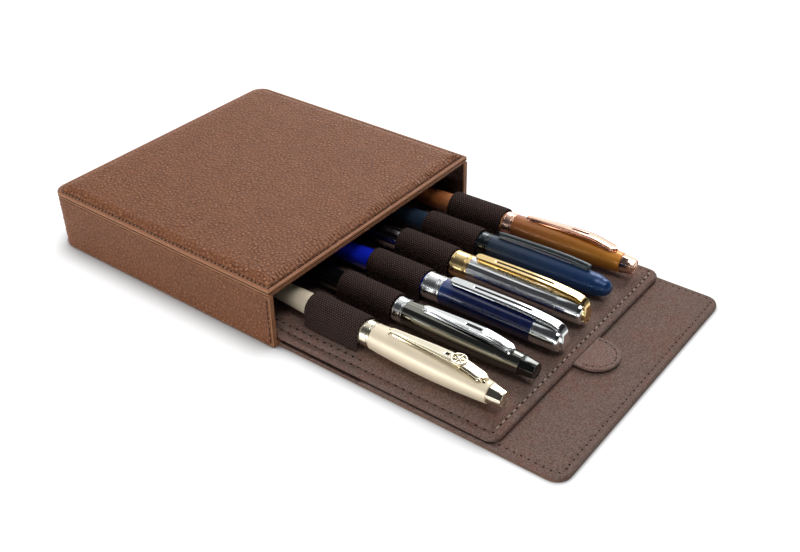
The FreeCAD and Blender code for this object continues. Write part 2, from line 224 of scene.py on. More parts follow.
# Leather: size and depth of its fine grain in metres, and how strongly its tone turns darker or lighter
GRAIN_SIZE = 0.0011
GRAIN_DEPTH = 0.0002
EDGE_GRAIN_DEPTH = 0.00012
HIDE_GLOSS = 0.35
HIDE_CLOUD_SIZE = 0.012
HIDE_CLOUD = 0.2
HIDE_CREASE = 0.4
HIDE_MOTTLE = 0.15                          # from pebble to pebble
# share of the painted shade that darkens the mesh's hollows
HIDE_HOLLOW_SHADE = 0.85
HIDE_BULGE = 0.5
HIDE_SMOOTH = 0.3                           # roughness on the pebbles' tops
HIDE_ROUGH = 0.8                            # and in the creases
GRAIN_WARP_SCALE = 420.0
GRAIN_WARP = 0.0014                         # how far the grain is drawn out of line, in metres
CRUMB_SHARE = 2.1                           # the small pebbles are this many times finer

# Suede: sizes in metres
SUEDE_PATCH = 0.03
SUEDE_BLOTCH = 0.0045
SUEDE_HAIR = 0.0008
SUEDE_DARK = 0.6                            # share of the dark tone between the hairs
SUEDE_LIGHT = 0.5
SUEDE_DEPTH = 0.0002

# Pens: hairlines, and the engraving's lanes round the pen and its cuts
HAIRLINE = 0.0002
HAIRLINE_DEPTH = 0.00002
METAL_SCRATCH = 0.012
LACQUER_SCRATCH = 0.01
LANES = 8.0
LANE_START = 0.36
LANE_END = 0.84
CUTS_ROUND = 36                             # to a turn
CUTS_ALONG = 9                              # to a centimetre
CUT_DEPTH = 0.00006

# Stage
FLOOR_HALF = 4.0                            # half the floor's width, in metres
FLOOR_DROP = 0.00005
FLOOR_TONE = 0.36
FLOOR_LIFT = 0.86                           # brings the lit floor to white without more light on the case
CONTACT_SHADOW_REACH = 0.017                             # reach of the painted contact shadow: the floor's glow fades this near to the case, in metres
HORIZON = (0.95, 0.95, 0.95, 1.0)
ZENITH = (0.05, 0.05, 0.055, 1.0)
# Lamps: place, target and size in metres, power in watts
LAMPS = {
    "key": ((1.66, 0.13, 1.5), (0.0, -0.05, 0.0), (1.2, 0.9), 25.0),
    "right": ((1.35, 0.45, 0.75), (0.0, -0.05, 0.0), (2.2, 1.2), 7.5),
    "overhead": ((0.25, 0.6, 1.2), (0.0, -0.05, 0.0), (1.2, 0.9), 3.0),
    "front": ((-0.15, -0.5, 1.4), (0.0, -0.1, 0.0), (0.8, 0.5), 7.5),
    "left": ((-1.2, 0.15, 0.14), (0.0, -0.1, 0.0), (2.0, 0.3), 8.5),
}

# The camera, fitted to the photograph
CAMERA_PLACE = (-347.99, -361.18, 308.15)
CAMERA_AZIMUTH = 52.17
CAMERA_ELEVATION = 34.76
CAMERA_ROLL = -0.915
CAMERA_LENS = 47.698


def box_mm(node):
    """Lowest and highest corner of a CAD node, in millimetres."""
    low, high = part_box(node)
    return low / MM, high / MM


def clamp(value):
    return min(max(value, 0.0), 1.0)


def paint(red, green, blue):
    """A colour as seen on a screen, 0 to 255, turned into the renderer's linear colour."""
    def linear(channel):
        c = channel / 255
        return c / 12.92 if c <= 0.04045 else ((c + 0.055) / 1.055) ** 2.4

    return (linear(red), linear(green), linear(blue), 1.0)


# Shader building

def feed(tree, node, inputs):
    """Give a node its inputs: an input is a value or another node's output."""
    for key, value in inputs.items():
        if isinstance(value, bpy.types.NodeSocket):
            tree.links.new(value, node.inputs[key])
        else:
            node.inputs[key].default_value = value


def add(tree, kind, inputs=None, **settings):
    made = tree.nodes.new(kind)
    for key, value in settings.items():
        setattr(made, key, value)
    feed(tree, made, inputs or {})
    return made


def math_of(tree, operation, first, second=0.0):
    return add(tree, "ShaderNodeMath", {0: first, 1: second}, operation=operation).outputs[0]


def remap(tree, value, low, high, new_low=0.0, new_high=1.0, curve="LINEAR"):
    return add(tree, "ShaderNodeMapRange", {
        "Value": value, "From Min": low, "From Max": high, "To Min": new_low, "To Max": new_high,
    }, interpolation_type=curve).outputs[0]


def mix_colour(tree, factor, first, second):
    colour_sockets = {"Factor": factor, 6: first, 7: second}
    return add(tree, "ShaderNodeMix", colour_sockets, data_type="RGBA", blend_type="MIX").outputs[2]


def new_group(name, inputs, outputs):
    """An empty shader group with float inputs (a vector where the default is None) and float outputs."""
    tree = bpy.data.node_groups.new(name, "ShaderNodeTree")
    for label, default in inputs.items():
        kind = "NodeSocketVector" if default is None else "NodeSocketFloat"
        socket = tree.interface.new_socket(label, in_out="INPUT", socket_type=kind)
        if default is not None:
            socket.default_value = default
    for label in outputs:
        tree.interface.new_socket(label, in_out="OUTPUT", socket_type="NodeSocketFloat")
    return tree, tree.nodes.new("NodeGroupInput").outputs, tree.nodes.new("NodeGroupOutput").inputs


def noise_of(tree, vector, size, detail=3.0, roughness=0.55):
    """Noise whose features are about size metres wide."""
    scale = math_of(tree, "DIVIDE", 1.0, size)
    return add(tree, "ShaderNodeTexNoise", {
        "Vector": vector, "Scale": scale, "Detail": detail, "Roughness": roughness}).outputs["Fac"]


def pebble_group():
    """Leather grain: rounded pebbles with creases between them, in two sizes."""
    tree, given, made = new_group("Pebbled grain", {"Vector": None, "Pebble": GRAIN_SIZE},
                                  ["Height", "Crease", "Tone"])
    warp = add(tree, "ShaderNodeTexNoise", {
        "Vector": given["Vector"], "Scale": GRAIN_WARP_SCALE, "Detail": 1.0}).outputs["Color"]
    shift = add(tree, "ShaderNodeVectorMath", {0: warp, 1: (0.5, 0.5, 0.5)}, operation="SUBTRACT").outputs[0]
    small = add(tree, "ShaderNodeVectorMath", {0: shift, "Scale": GRAIN_WARP},
                operation="SCALE").outputs[0]
    place = add(tree, "ShaderNodeVectorMath", {0: given["Vector"], 1: small}, operation="ADD").outputs[0]
    scale = math_of(tree, "DIVIDE", 1.0, given["Pebble"])
    fine = math_of(tree, "MULTIPLY", scale, CRUMB_SHARE)
    cells = add(tree, "ShaderNodeTexVoronoi", {"Vector": place, "Scale": scale},
                feature="DISTANCE_TO_EDGE").outputs["Distance"]
    crumbs = add(tree, "ShaderNodeTexVoronoi", {"Vector": place, "Scale": fine},
                 feature="DISTANCE_TO_EDGE").outputs["Distance"]
    crumb = remap(tree, crumbs, 0.0, 0.22, 0.75, 1.0, "SMOOTHSTEP")
    dome = remap(tree, cells, 0.0, 0.34, curve="SMOOTHSTEP")
    top = math_of(tree, "MULTIPLY", remap(tree, cells, 0.0, 0.11, curve="SMOOTHSTEP"), crumb)
    tree.links.new(math_of(tree, "MULTIPLY", dome, crumb), made["Height"])
    tree.links.new(math_of(tree, "SUBTRACT", 1.0, top), made["Crease"])
    single = add(tree, "ShaderNodeTexVoronoi", {"Vector": place, "Scale": scale}).outputs["Color"]
    tree.links.new(add(tree, "ShaderNodeSeparateColor", {0: single}).outputs[0], made["Tone"])
    return tree


def nap_group():
    """Brushed hide: broad cloudy patches and a fine nap of lighter and darker hairs."""
    tree, given, made = new_group("Suede nap", {"Vector": None, "Patch": SUEDE_PATCH}, ["Cloud", "Hairs"])
    broad = noise_of(tree, given["Vector"], given["Patch"], 3.0, 0.6)
    small = noise_of(tree, given["Vector"], SUEDE_BLOTCH, 3.0, 0.6)
    cloud = math_of(tree, "MULTIPLY", math_of(tree, "ADD", broad, small), 0.5)
    hairs = noise_of(tree, given["Vector"], SUEDE_HAIR, 2.0, 0.7)
    tree.links.new(cloud, made["Cloud"])
    tree.links.new(hairs, made["Hairs"])
    return tree


def wear_and_shade_group():
    """Where the surface is rubbed: edges, broken up by noise; and how far it bulges or lies hollow, the
    hollows being a mask for painted shade.
    """
    tree, given, made = new_group("Edge wear and hollow shade", {"Vector": None, "Amount": 0.5}, ["Mask", "Bulge", "Painted hollow shade"])
    bend = add(tree, "ShaderNodeNewGeometry").outputs["Pointiness"]
    tree.links.new(remap(tree, bend, 0.5, 0.55), made["Bulge"])
    tree.links.new(remap(tree, bend, 0.505, 0.45), made["Painted hollow shade"])
    edge = remap(tree, bend, 0.52, 0.62)
    patches = remap(tree, noise_of(tree, given["Vector"], 0.004), 0.35, 0.65)
    mask = math_of(tree, "MULTIPLY", edge, patches)
    tree.links.new(math_of(tree, "MULTIPLY", mask, given["Amount"]), made["Mask"])
    return tree


def rib_group():
    """Woven elastic: staggered short ribs. The vector's X runs round the loop and Y across it."""
    tree, given, made = new_group("Elastic ribs", {"Vector": None, "Rib": 0.0009, "Step": 0.0013},
                                  ["Height", "Yarn"])
    parts = add(tree, "ShaderNodeSeparateXYZ", {0: given["Vector"]}).outputs
    row = math_of(tree, "DIVIDE", parts[0], given["Rib"])
    odd = math_of(tree, "MULTIPLY", math_of(tree, "FLOOR", row), 0.5)
    column = math_of(tree, "ADD", math_of(tree, "DIVIDE", parts[1], given["Step"]), odd)

    def hump(value):
        half = math_of(tree, "SUBTRACT", math_of(tree, "FRACT", value), 0.5)
        return math_of(tree, "SUBTRACT", 1.0, math_of(tree, "POWER", math_of(
            tree, "MULTIPLY", math_of(tree, "ABSOLUTE", half), 2.0), 2.0))

    height = math_of(tree, "MULTIPLY", hump(row), hump(column))
    yarn = noise_of(tree, given["Vector"], 0.0006, 2.0)
    tree.links.new(math_of(tree, "ADD", height, math_of(tree, "MULTIPLY", yarn, 0.35)), made["Height"])
    tree.links.new(height, made["Yarn"])
    return tree


def handling_group():
    """Handling marks on polished and lacquered surfaces: faint smears and hairlines along the pen."""
    tree, given, made = new_group("Handling marks", {"Vector": None, "Plain": 0.1, "Marked": 0.2},
                                  ["Roughness", "Height"])
    smear = remap(tree, noise_of(tree, given["Vector"], 0.006, 4.0, 0.6), 0.4, 0.72)
    drawn = add(tree, "ShaderNodeMapping", {
        "Vector": given["Vector"], "Scale": (1.0, 0.05, 1.0)}).outputs[0]
    hairline = noise_of(tree, drawn, HAIRLINE, 2.0, 0.5)
    span = math_of(tree, "SUBTRACT", given["Marked"], given["Plain"])
    tree.links.new(math_of(tree, "ADD", given["Plain"], math_of(tree, "MULTIPLY", smear, span)),
                   made["Roughness"])
    tree.links.new(hairline, made["Height"])
    return tree


PEBBLES = pebble_group()
NAP = nap_group()
WEAR_AND_SHADE = wear_and_shade_group()
RIBS = rib_group()
HANDLING = handling_group()


def use(tree, group, inputs):
    made = tree.nodes.new("ShaderNodeGroup")
    made.node_tree = group
    feed(tree, made, inputs)
    return made.outputs


def new_material(name, values):
    """A material with a Principled shader set to plain values; returns its tree, shader and object place."""
    material = bpy.data.materials.new(name)
    material.use_nodes = True
    tree = material.node_tree
    shader = tree.nodes["Principled BSDF"]
    for key, value in values.items():
        shader.inputs[key].default_value = value
    place = add(tree, "ShaderNodeTexCoord").outputs["Object"]
    return material, tree, shader, place


def bump(tree, shader, height, distance, strength=1.0):
    made = add(tree, "ShaderNodeBump", {"Height": height, "Distance": distance, "Strength": strength})
    tree.links.new(made.outputs[0], shader.inputs["Normal"])


def leather(name, colour, crease, worn, depth):
    """Hide with its grain in pebbles: darker in the grain's creases, with painted shade in the mesh's
    hollows, and lighter on its bulges.
    """
    material, tree, shader, place = new_material(name, {"Specular IOR Level": HIDE_GLOSS})
    grain = use(tree, PEBBLES, {"Vector": place, "Pebble": GRAIN_SIZE})
    wear = use(tree, WEAR_AND_SHADE, {"Vector": place, "Amount": 0.5})
    cloud = noise_of(tree, place, HIDE_CLOUD_SIZE, 4.0)
    tone = mix_colour(tree, remap(tree, cloud, 0.3, 0.7, 0.0, HIDE_CLOUD), colour, crease)
    tone = mix_colour(tree, math_of(tree, "MULTIPLY", grain["Crease"], HIDE_CREASE), tone, crease)
    tone = mix_colour(tree, remap(tree, grain["Tone"], 0.5, 0.0, 0.0, HIDE_MOTTLE), tone, crease)
    tone = mix_colour(tree, remap(tree, grain["Tone"], 0.5, 1.0, 0.0, HIDE_MOTTLE), tone, worn)
    # Painted shade: the mesh's hollows turn towards the crease tone.
    tone = mix_colour(tree, math_of(tree, "MULTIPLY", wear["Painted hollow shade"], HIDE_HOLLOW_SHADE), tone, crease)
    tone = mix_colour(tree, math_of(tree, "MULTIPLY", wear["Bulge"], HIDE_BULGE), tone, worn)
    tree.links.new(tone, shader.inputs["Base Color"])
    hidden = math_of(tree, "MAXIMUM", grain["Crease"], wear["Painted hollow shade"])
    tree.links.new(remap(tree, hidden, 0.0, 1.0, HIDE_SMOOTH, HIDE_ROUGH), shader.inputs["Roughness"])
    bump(tree, shader, grain["Height"], depth)
    return material


def suede(name, colour, warm, dark, worn):
    """Grey-brown nubuck with reddish clouds, a fine nap and rubbed edges."""
    material, tree, shader, place = new_material(name, {
        "Roughness": 0.9, "Specular IOR Level": 0.15, "Sheen Weight": 0.1, "Sheen Roughness": 0.4,
        "Sheen Tint": worn})
    nap = use(tree, NAP, {"Vector": place, "Patch": SUEDE_PATCH})
    wear = use(tree, WEAR_AND_SHADE, {"Vector": place, "Amount": 0.5})
    tone = mix_colour(tree, remap(tree, nap["Cloud"], 0.45, 0.62), colour, warm)
    tone = mix_colour(tree, remap(tree, nap["Hairs"], 0.5, 0.32, 0.0, SUEDE_DARK), tone, dark)
    tone = mix_colour(tree, remap(tree, nap["Hairs"], 0.5, 0.7, 0.0, SUEDE_LIGHT), tone, worn)
    tone = mix_colour(tree, wear["Mask"], tone, worn)
    tree.links.new(tone, shader.inputs["Base Color"])
    bump(tree, shader, nap["Hairs"], SUEDE_DEPTH, 0.7)
    return material


def elastic(name, colour, rib_highlight):
    """Woven elastic, its ribs laid out on the loop's own UV map; their tops carry a painted highlight."""
    material, tree, shader, _ = new_material(name, {"Roughness": 0.85, "Specular IOR Level": 0.15})
    place = add(tree, "ShaderNodeUVMap", uv_map="UVMap").outputs[0]
    ribs = use(tree, RIBS, {"Vector": place})
    # Painted highlight on the rib tops, painted shade between them.
    tone = mix_colour(tree, remap(tree, ribs["Yarn"], 0.35, 1.0), colour, rib_highlight)
    tree.links.new(tone, shader.inputs["Base Color"])
    bump(tree, shader, ribs["Height"], 0.0004, 0.9)
    return material


def metal(name, colour, plain, marked):
    """Polished metal with handling marks."""
    material, tree, shader, place = new_material(name, {"Metallic": 1.0, "Base Color": colour})
    marks = use(tree, HANDLING, {"Vector": place, "Plain": plain, "Marked": marked})
    tree.links.new(marks["Roughness"], shader.inputs["Roughness"])
    bump(tree, shader, marks["Height"], HAIRLINE_DEPTH, METAL_SCRATCH)
    return material


def lacquer(name, near, far, metallic, plain, marked, coat, fade):
    """Lacquer that shades from near to far along Y between the two ends of fade, in metres."""
    material, tree, shader, place = new_material(name, {
        "Metallic": metallic, "Coat Weight": coat, "Coat Roughness": 0.04})
    marks = use(tree, HANDLING, {"Vector": place, "Plain": plain, "Marked": marked})
    along = add(tree, "ShaderNodeSeparateXYZ", {0: place}).outputs[1]
    tone = mix_colour(tree, remap(tree, along, fade[0], fade[1]), near, far)
    shade = remap(tree, noise_of(tree, place, 0.004, 3.0), 0.3, 0.7, 0.0, 0.12)
    tree.links.new(mix_colour(tree, shade, tone, near), shader.inputs["Base Color"])
    tree.links.new(marks["Roughness"], shader.inputs["Roughness"])
    bump(tree, shader, marks["Height"], HAIRLINE_DEPTH, LACQUER_SCRATCH)
    return material


def engraved(name, bright, dark):
    """Chrome with lengthwise bands of fine crossed engraving; UV X is turns and Y is centimetres."""
    material, tree, shader, place = new_material(name, {"Metallic": 1.0})
    laid_out = add(tree, "ShaderNodeUVMap", uv_map="UVMap").outputs[0]
    uv = add(tree, "ShaderNodeSeparateXYZ", {0: laid_out}).outputs
    marks = use(tree, HANDLING, {"Vector": place, "Plain": 0.08, "Marked": 0.16})
    lane = math_of(tree, "FRACT", math_of(tree, "MULTIPLY", uv[0], LANES))
    band = math_of(tree, "MULTIPLY", math_of(tree, "GREATER_THAN", lane, LANE_START),
                   math_of(tree, "LESS_THAN", lane, LANE_END))
    across = math_of(tree, "SINE", math_of(tree, "MULTIPLY", uv[0], 2 * math.pi * CUTS_ROUND))
    along = math_of(tree, "SINE", math_of(tree, "MULTIPLY", uv[1], 2 * math.pi * CUTS_ALONG))
    cells = math_of(tree, "MULTIPLY", across, along)
    cut = math_of(tree, "MULTIPLY", band, remap(tree, cells, -0.25, 0.35))
    tree.links.new(mix_colour(tree, cut, bright, dark), shader.inputs["Base Color"])
    rougher = math_of(tree, "ADD", marks["Roughness"], math_of(tree, "MULTIPLY", band, 0.14))
    tree.links.new(rougher, shader.inputs["Roughness"])
    bump(tree, shader, math_of(tree, "MULTIPLY", band, cells), CUT_DEPTH, 0.6)
    return material


def plain(name, colour, roughness, size):
    """A dull material such as board or thread, mottled at the given size in metres."""
    material, tree, shader, place = new_material(name, {"Roughness": roughness, "Specular IOR Level": 0.25})
    speckle = noise_of(tree, place, size, 3.0, 0.6)
    dim = tuple(0.6 * c for c in colour[:3]) + (1.0,)
    tone = mix_colour(tree, remap(tree, speckle, 0.35, 0.65), dim, colour)
    tree.links.new(tone, shader.inputs["Base Color"])
    bump(tree, shader, speckle, 0.0001, 0.6)
    return material


HIDE_TONES = [paint(143, 83, 43), paint(58, 26, 12), paint(208, 150, 112)]
SUEDE_TONES = [paint(116, 96, 88), paint(122, 91, 81), paint(70, 55, 49), paint(156, 136, 126)]
PALE_TONES = [paint(128, 108, 100), paint(134, 103, 93), paint(80, 64, 57), paint(172, 152, 142)]
# The inner lining: partly its own dark suede, partly painted shade inside the sleeve.
LINING_AND_SHADE_TONES = [paint(62, 48, 43), paint(66, 46, 40), paint(36, 27, 24), paint(92, 78, 71)]
MATERIALS = {
    "leather": leather("Pebbled leather", *HIDE_TONES, GRAIN_DEPTH),
    "edge_leather": leather("Turned leather edge", *HIDE_TONES, EDGE_GRAIN_DEPTH),
    "suede": suede("Grey-brown suede", *SUEDE_TONES),
    "pale_suede": suede("Pale suede", *PALE_TONES),
    "lining": suede("Inner lining with painted shade", *LINING_AND_SHADE_TONES),
    "elastic": elastic("Woven elastic", paint(34, 22, 20), paint(92, 72, 67)),
    "engraved_chrome": engraved("Engraved chrome", (0.88, 0.89, 0.9, 1.0), (0.06, 0.07, 0.075, 1.0)),
}

# Dull materials: title, colour, roughness, size of the mottling in metres
DULL = {
    # dark colour in the grooves of the lid's turned edge: partly edge dye, partly painted shade
    "seam_dye_and_shade": ("Dyed seam edge with painted shade", (52, 30, 20), 0.7, 0.001),
    "board": ("Grey board", (120, 112, 102), 0.9, 0.002),
    "brown_thread": ("Brown thread", (172, 130, 106), 0.6, 0.0004),
    "dark_thread": ("Dark brown thread", (88, 56, 40), 0.75, 0.0004),
    "taupe_thread": ("Taupe thread", (112, 94, 86), 0.75, 0.0004),
    "pale_thread": ("Pale thread", (204, 186, 172), 0.7, 0.0004),
    "dark_inlay": ("Dark inlay", (16, 15, 16), 0.6, 0.0004),
    "needle_hole": ("Needle hole", (20, 13, 11), 0.95, 0.0004),
}
for finish, (title, tone, dullness, mottling) in DULL.items():
    MATERIALS[finish] = plain(title, paint(*tone), dullness, mottling)

# Lacquers: title, near and far tone, metallic, roughness plain and marked, coat, where the tones lie in Y
LACQUERS = {
    "cream": ("Champagne lacquer", (250, 234, 206), (250, 236, 206), 0.2, 0.36, 0.44, 0.1, (-0.1, -0.2)),
    "black_resin": ("Black resin", (12, 12, 13), (16, 16, 17), 0.0, 0.06, 0.14, 1.0, (-0.1, -0.2)),
    "bright_blue": ("Bright blue resin", (24, 46, 214), (20, 34, 180), 0.0, 0.1, 0.16, 1.0, (-0.05, -0.1)),
    # Painted reflection: the navy turns lighter blue towards the band, where the cap's top catches the
    # light.
    "navy": ("Navy lacquer", (48, 80, 150), (8, 20, 70), 0.1, 0.16, 0.24, 1.0, (-0.116, -0.136)),
    "satin_blue": ("Satin blue lacquer", (44, 60, 80), (14, 60, 112), 0.25, 0.32, 0.4, 0.0, (-0.13, -0.185)),
    "amber": ("Amber lacquer", (158, 92, 50), (222, 146, 44), 0.2, 0.3, 0.38, 0.2, (-0.12, -0.185)),
    # Painted light and shade: the amber barrel is lighter out in front of the mouth and darker at the mouth,
    # where the sleeve shades it.
    "amber_tail": ("Amber barrel lacquer", (240, 166, 108), (150, 84, 44), 0.0, 0.26, 0.34, 0.3,
                   (-0.1, -0.076)),
}
for finish, (title, near, far, *rest) in LACQUERS.items():
    MATERIALS[finish] = lacquer(title, paint(*near), paint(*far), *rest)

# Metals: colour and roughness
METALS = {
    "chrome": ((0.74, 0.76, 0.76, 1.0), 0.1),
    "gunmetal": ((0.24, 0.24, 0.21, 1.0), 0.08),
    "black_chrome": ((0.1, 0.105, 0.1, 1.0), 0.1),
    "dark_metal": ((0.07, 0.08, 0.085, 1.0), 0.3),
    "gold": ((0.86, 0.64, 0.3, 1.0), 0.1),
    "pale_gold": ((0.86, 0.79, 0.62, 1.0), 0.12),
    "rose_gold": ((0.84, 0.54, 0.41, 1.0), 0.11),
}
for finish, (tone, polish) in METALS.items():
    title = finish.replace("_", " ").capitalize()
    MATERIALS[finish] = metal(title, tone, polish, polish + 0.07)
    MATERIALS["satin_" + finish] = metal("Satin " + title.lower(), tone, 0.18, 0.27)

# The slots that finishes fill, where they differ from the finish's own name
SLOT_OF = {"satin_" + finish: finish for finish in METALS}
SLOT_OF.update({
    "satin_dark_metal": "gunmetal", "dark_inlay": "black_resin", "cream": "cream_lacquer",
    "bright_blue": "bright_blue_resin", "navy": "navy_lacquer", "amber": "amber_lacquer",
    "amber_tail": "amber_lacquer"})


# Finishing pieces

def finished(bm, name, materials, body, replaced=(), sharp=38.0):
    """Bring a mesh to metres, shade it, and let it ride on a body in place of the nodes that it replaces."""
    bmesh.ops.scale(bm, vec=(MM, MM, MM), verts=bm.verts)
    mesh = bpy.data.meshes.new(name)
    bm.to_mesh(mesh)
    bm.free()
    for polygon in mesh.polygons:
        polygon.use_smooth = True
    mesh.set_sharp_from_angle(angle=math.radians(sharp))
    for key in materials:
        mesh.materials.append(MATERIALS[key])
    piece = bpy.data.objects.new(name, mesh)
    bpy.context.scene.collection.objects.link(piece)
    if body:
        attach(piece, body)
    if replaced:
        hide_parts(*replaced)
    return piece


def pebbled(piece, away):
    """Raise the hide's pebbles on a finely divided piece, but not on the vertices in away."""
    group = piece.vertex_groups.new(name="Grain")
    group.add([v.index for v in piece.data.vertices if not away(v.co / MM)], 1.0, "REPLACE")
    grain = bpy.data.textures.new(piece.name + "_pebbles", "VORONOI")
    grain.weight_1 = -1.0
    grain.weight_2 = 1.0
    grain.noise_scale = PEBBLE_SIZE * MM
    grain.noise_intensity = PEBBLE_CROWN
    raised = piece.modifiers.new("Pebbles", "DISPLACE")
    raised.texture = grain
    raised.texture_coords = "LOCAL"
    raised.vertex_group = group.name
    raised.mid_level = 0.5
    raised.strength = PEBBLE_RISE * MM


def soften(bm, degrees, offset, segments=2):
    """Bevel every edge that is sharper than the given angle."""
    limit = math.radians(degrees)
    edges = [e for e in bm.edges if len(e.link_faces) == 2 and e.calc_face_angle(0.0) > limit]
    bmesh.ops.bevel(bm, geom=edges, offset=offset, offset_type="OFFSET", segments=segments, profile=0.5,
                    affect="EDGES", clamp_overlap=True, material=-1)


def verts_of(edges):
    return list({v for e in edges for v in e.verts})


def only(kind, geometry):
    """The verts or edges of what an operator gives back."""
    return [item for item in geometry if isinstance(item, kind)]


# Pads and sheets with a rounded plan

class Plan:
    """A level outline, symmetric across X, rounded at its front and back corners."""

    def __init__(self, half, low, high, front, back):
        self.half = half
        self.low = low
        self.high = high
        self.front = front
        self.back = back

    def corner(self, x, y):
        """The rounding that a point falls in: its centre and radius, or None."""
        for radius, cy, beyond in ((self.front, self.low + self.front, y < self.low + self.front),
                                   (self.back, self.high - self.back, y > self.high - self.back)):
            if beyond and abs(x) > self.half - radius:
                return math.copysign(self.half - radius, x), cy, radius
        return None

    def rounded(self, x, y):
        """Draw a square corner's point into the rounded corner."""
        found = self.corner(x, y)
        if not found or found[2] <= 0:
            return x, y
        cx, cy, radius = found
        a = (x - cx) / radius
        b = (y - cy) / radius
        return cx + radius * a * math.sqrt(1 - b * b / 2), cy + radius * b * math.sqrt(1 - a * a / 2)

    def depth(self, x, y):
        """How far inside the outline a point lies."""
        found = self.corner(x, y)
        if found:
            return found[2] - math.hypot(x - found[0], y - found[1])
        return min(self.half - abs(x), y - self.low, self.high - y)

    def outward(self, x, y):
        """Direction from a point to the nearest part of the outline."""
        found = self.corner(x, y)
        if found:
            return Vector((x - found[0], y - found[1], 0)).normalized()
        gaps = {(math.copysign(1, x), 0): self.half - abs(x), (0, -1): y - self.low, (0, 1): self.high - y}
        nearest = min(gaps, key=gaps.get)
        return Vector((nearest[0], nearest[1], 0))

    def walk(self, inset, pitch):
        """Evenly spaced places along the outline, drawn in by inset: (x, y, heading in radians)."""
        runs = []
        half = self.half - inset
        front = max(self.front - inset, 0.01)
        back = max(self.back - inset, 0.01)
        low = self.low + inset
        high = self.high - inset
        runs.append(("line", (-half + front, low), (half - front, low)))
        runs.append(("arc", (half - front, low + front), front, -90))
        runs.append(("line", (half, low + front), (half, high - back)))
        runs.append(("arc", (half - back, high - back), back, 0))
        runs.append(("line", (half - back, high), (-half + back, high)))
        runs.append(("arc", (-half + back, high - back), back, 90))
        runs.append(("line", (-half, high - back), (-half, low + front)))
        runs.append(("arc", (-half + front, low + front), front, 180))
        places = []
        left_over = pitch / 2
        for run in runs:
            if run[0] == "line":
                start = Vector(run[1])
                way = Vector(run[2]) - start
                length = way.length
            else:
                length = run[2] * math.pi / 2
            at = left_over
            while at < length:
                if run[0] == "line":
                    spot = start + way * (at / length)
                    heading = math.atan2(way.y, way.x)
                else:
                    angle = math.radians(run[3]) + at / run[2]
                    spot = Vector(run[1]) + Vector((math.cos(angle), math.sin(angle))) * run[2]
                    heading = angle + math.pi / 2
                places.append((spot.x, spot.y, heading))
                at += pitch
            left_over = at - length
        return places


def bullnose(depth, radius):
    """Drop below the flat at a rounded edge."""
    reach = max(radius - depth, 0.0)
    return radius - math.sqrt(max(radius * radius - reach * reach, 0.0))


def groove(depth, centre, half):
    """1 on a stitch line, easing to 0 beside it."""
    across = (depth - centre) / half
    return 0.5 + 0.5 * math.cos(math.pi * across) if abs(across) < 1 else 0.0


def swell(depth, start, run):
    """0 up to start, easing to 1 after run."""
    return math.sin(clamp((depth - start) / run) * math.pi / 2)


def ripple(x, y, size):
    """Slow natural unevenness, about -1 to 1."""
    return noise.noise(Vector((x / size, y / size, SEED)))


def pad_mesh(plan, counts, top, sides, crowd=0.5, span=None, underside=None):
    """A pad: a fine grid shaped by top(x, y, depth), a rim that follows sides, and a closed underside.

    sides lists (inset from the outline, height) from the rim down. span limits the pad in Y; there it is
    cut flush. underside(x, y, depth) gives a gridded underside; without it the pad is closed flat.
    """
    low, high = span or (plan.low, plan.high)
    bm = bmesh.new()
    bmesh.ops.create_grid(bm, x_segments=counts[0], y_segments=counts[1], size=1)

    def crowded(t, amount):
        return t * (1 - amount) + amount * math.sin(t * math.pi / 2)

    crowd_y = 0.0 if span else crowd
    for vertex in bm.verts:
        x = plan.half * crowded(vertex.co.x, crowd)
        y = (low + high) / 2 + (high - low) / 2 * crowded(vertex.co.y, crowd_y)
        vertex.co.x, vertex.co.y = plan.rounded(x, y)
    under = []
    if underside:
        under = only(bmesh.types.BMVert, bmesh.ops.duplicate(bm, geom=bm.faces[:])["geom"])
    below = set(under)
    rim = [e for e in bm.edges if e.is_boundary and e.verts[0] not in below]
    for vertex in bm.verts:
        if vertex not in below:
            vertex.co.z = top(vertex.co.x, vertex.co.y, plan.depth(vertex.co.x, vertex.co.y))
    on_rim = 0.02

    def moved(vertex, inset, height):
        depth = plan.depth(vertex.co.x, vertex.co.y)
        if depth < sides[-1][0] + on_rim:
            vertex.co += plan.outward(vertex.co.x, vertex.co.y) * (depth - inset)
        vertex.co.z = height

    for inset, height in sides:
        rim = only(bmesh.types.BMEdge, bmesh.ops.extrude_edge_only(bm, edges=rim)["geom"])
        for vertex in {v for e in rim for v in e.verts}:
            moved(vertex, inset, height)
    if underside:
        for vertex in under:
            if vertex.is_boundary:
                moved(vertex, *sides[-1])
            else:
                vertex.co.z = underside(vertex.co.x, vertex.co.y, plan.depth(vertex.co.x, vertex.co.y))
        bmesh.ops.remove_doubles(bm, verts=bm.verts, dist=0.002)
    else:
        bmesh.ops.contextual_create(bm, geom=rim)
    bmesh.ops.recalc_face_normals(bm, faces=bm.faces)
    return bm


# Stitches

def stitch_row(name, places, stitch, thread_look, body):
    """Thread beads along a seam, each with a needle hole half a pitch further on.

    A place is a matrix whose X runs along the seam. The hole is a dark dimple, its colour painted shade for
    the hole's depth.
    """
    bm = bmesh.new()
    length, width, height, proud = stitch.thread
    for place in places:
        shape = place @ Matrix.Translation((0, 0, proud)) @ Matrix.Diagonal((length, width, height, 1))
        bmesh.ops.create_uvsphere(bm, u_segments=8, v_segments=6, radius=0.5, matrix=shape)
    thread_faces = set(bm.faces)
    for place in places:
        spot = place @ Matrix.Translation((stitch.pitch / 2, 0, 0))
        spot = spot @ Matrix.Diagonal((*stitch.hole, HOLE_DEPTH, 1))
        bmesh.ops.create_icosphere(bm, subdivisions=2, radius=0.5, matrix=spot)
    for face in bm.faces:
        face.material_index = 0 if face in thread_faces else 1
    return finished(bm, name, [thread_look, "needle_hole"], body)


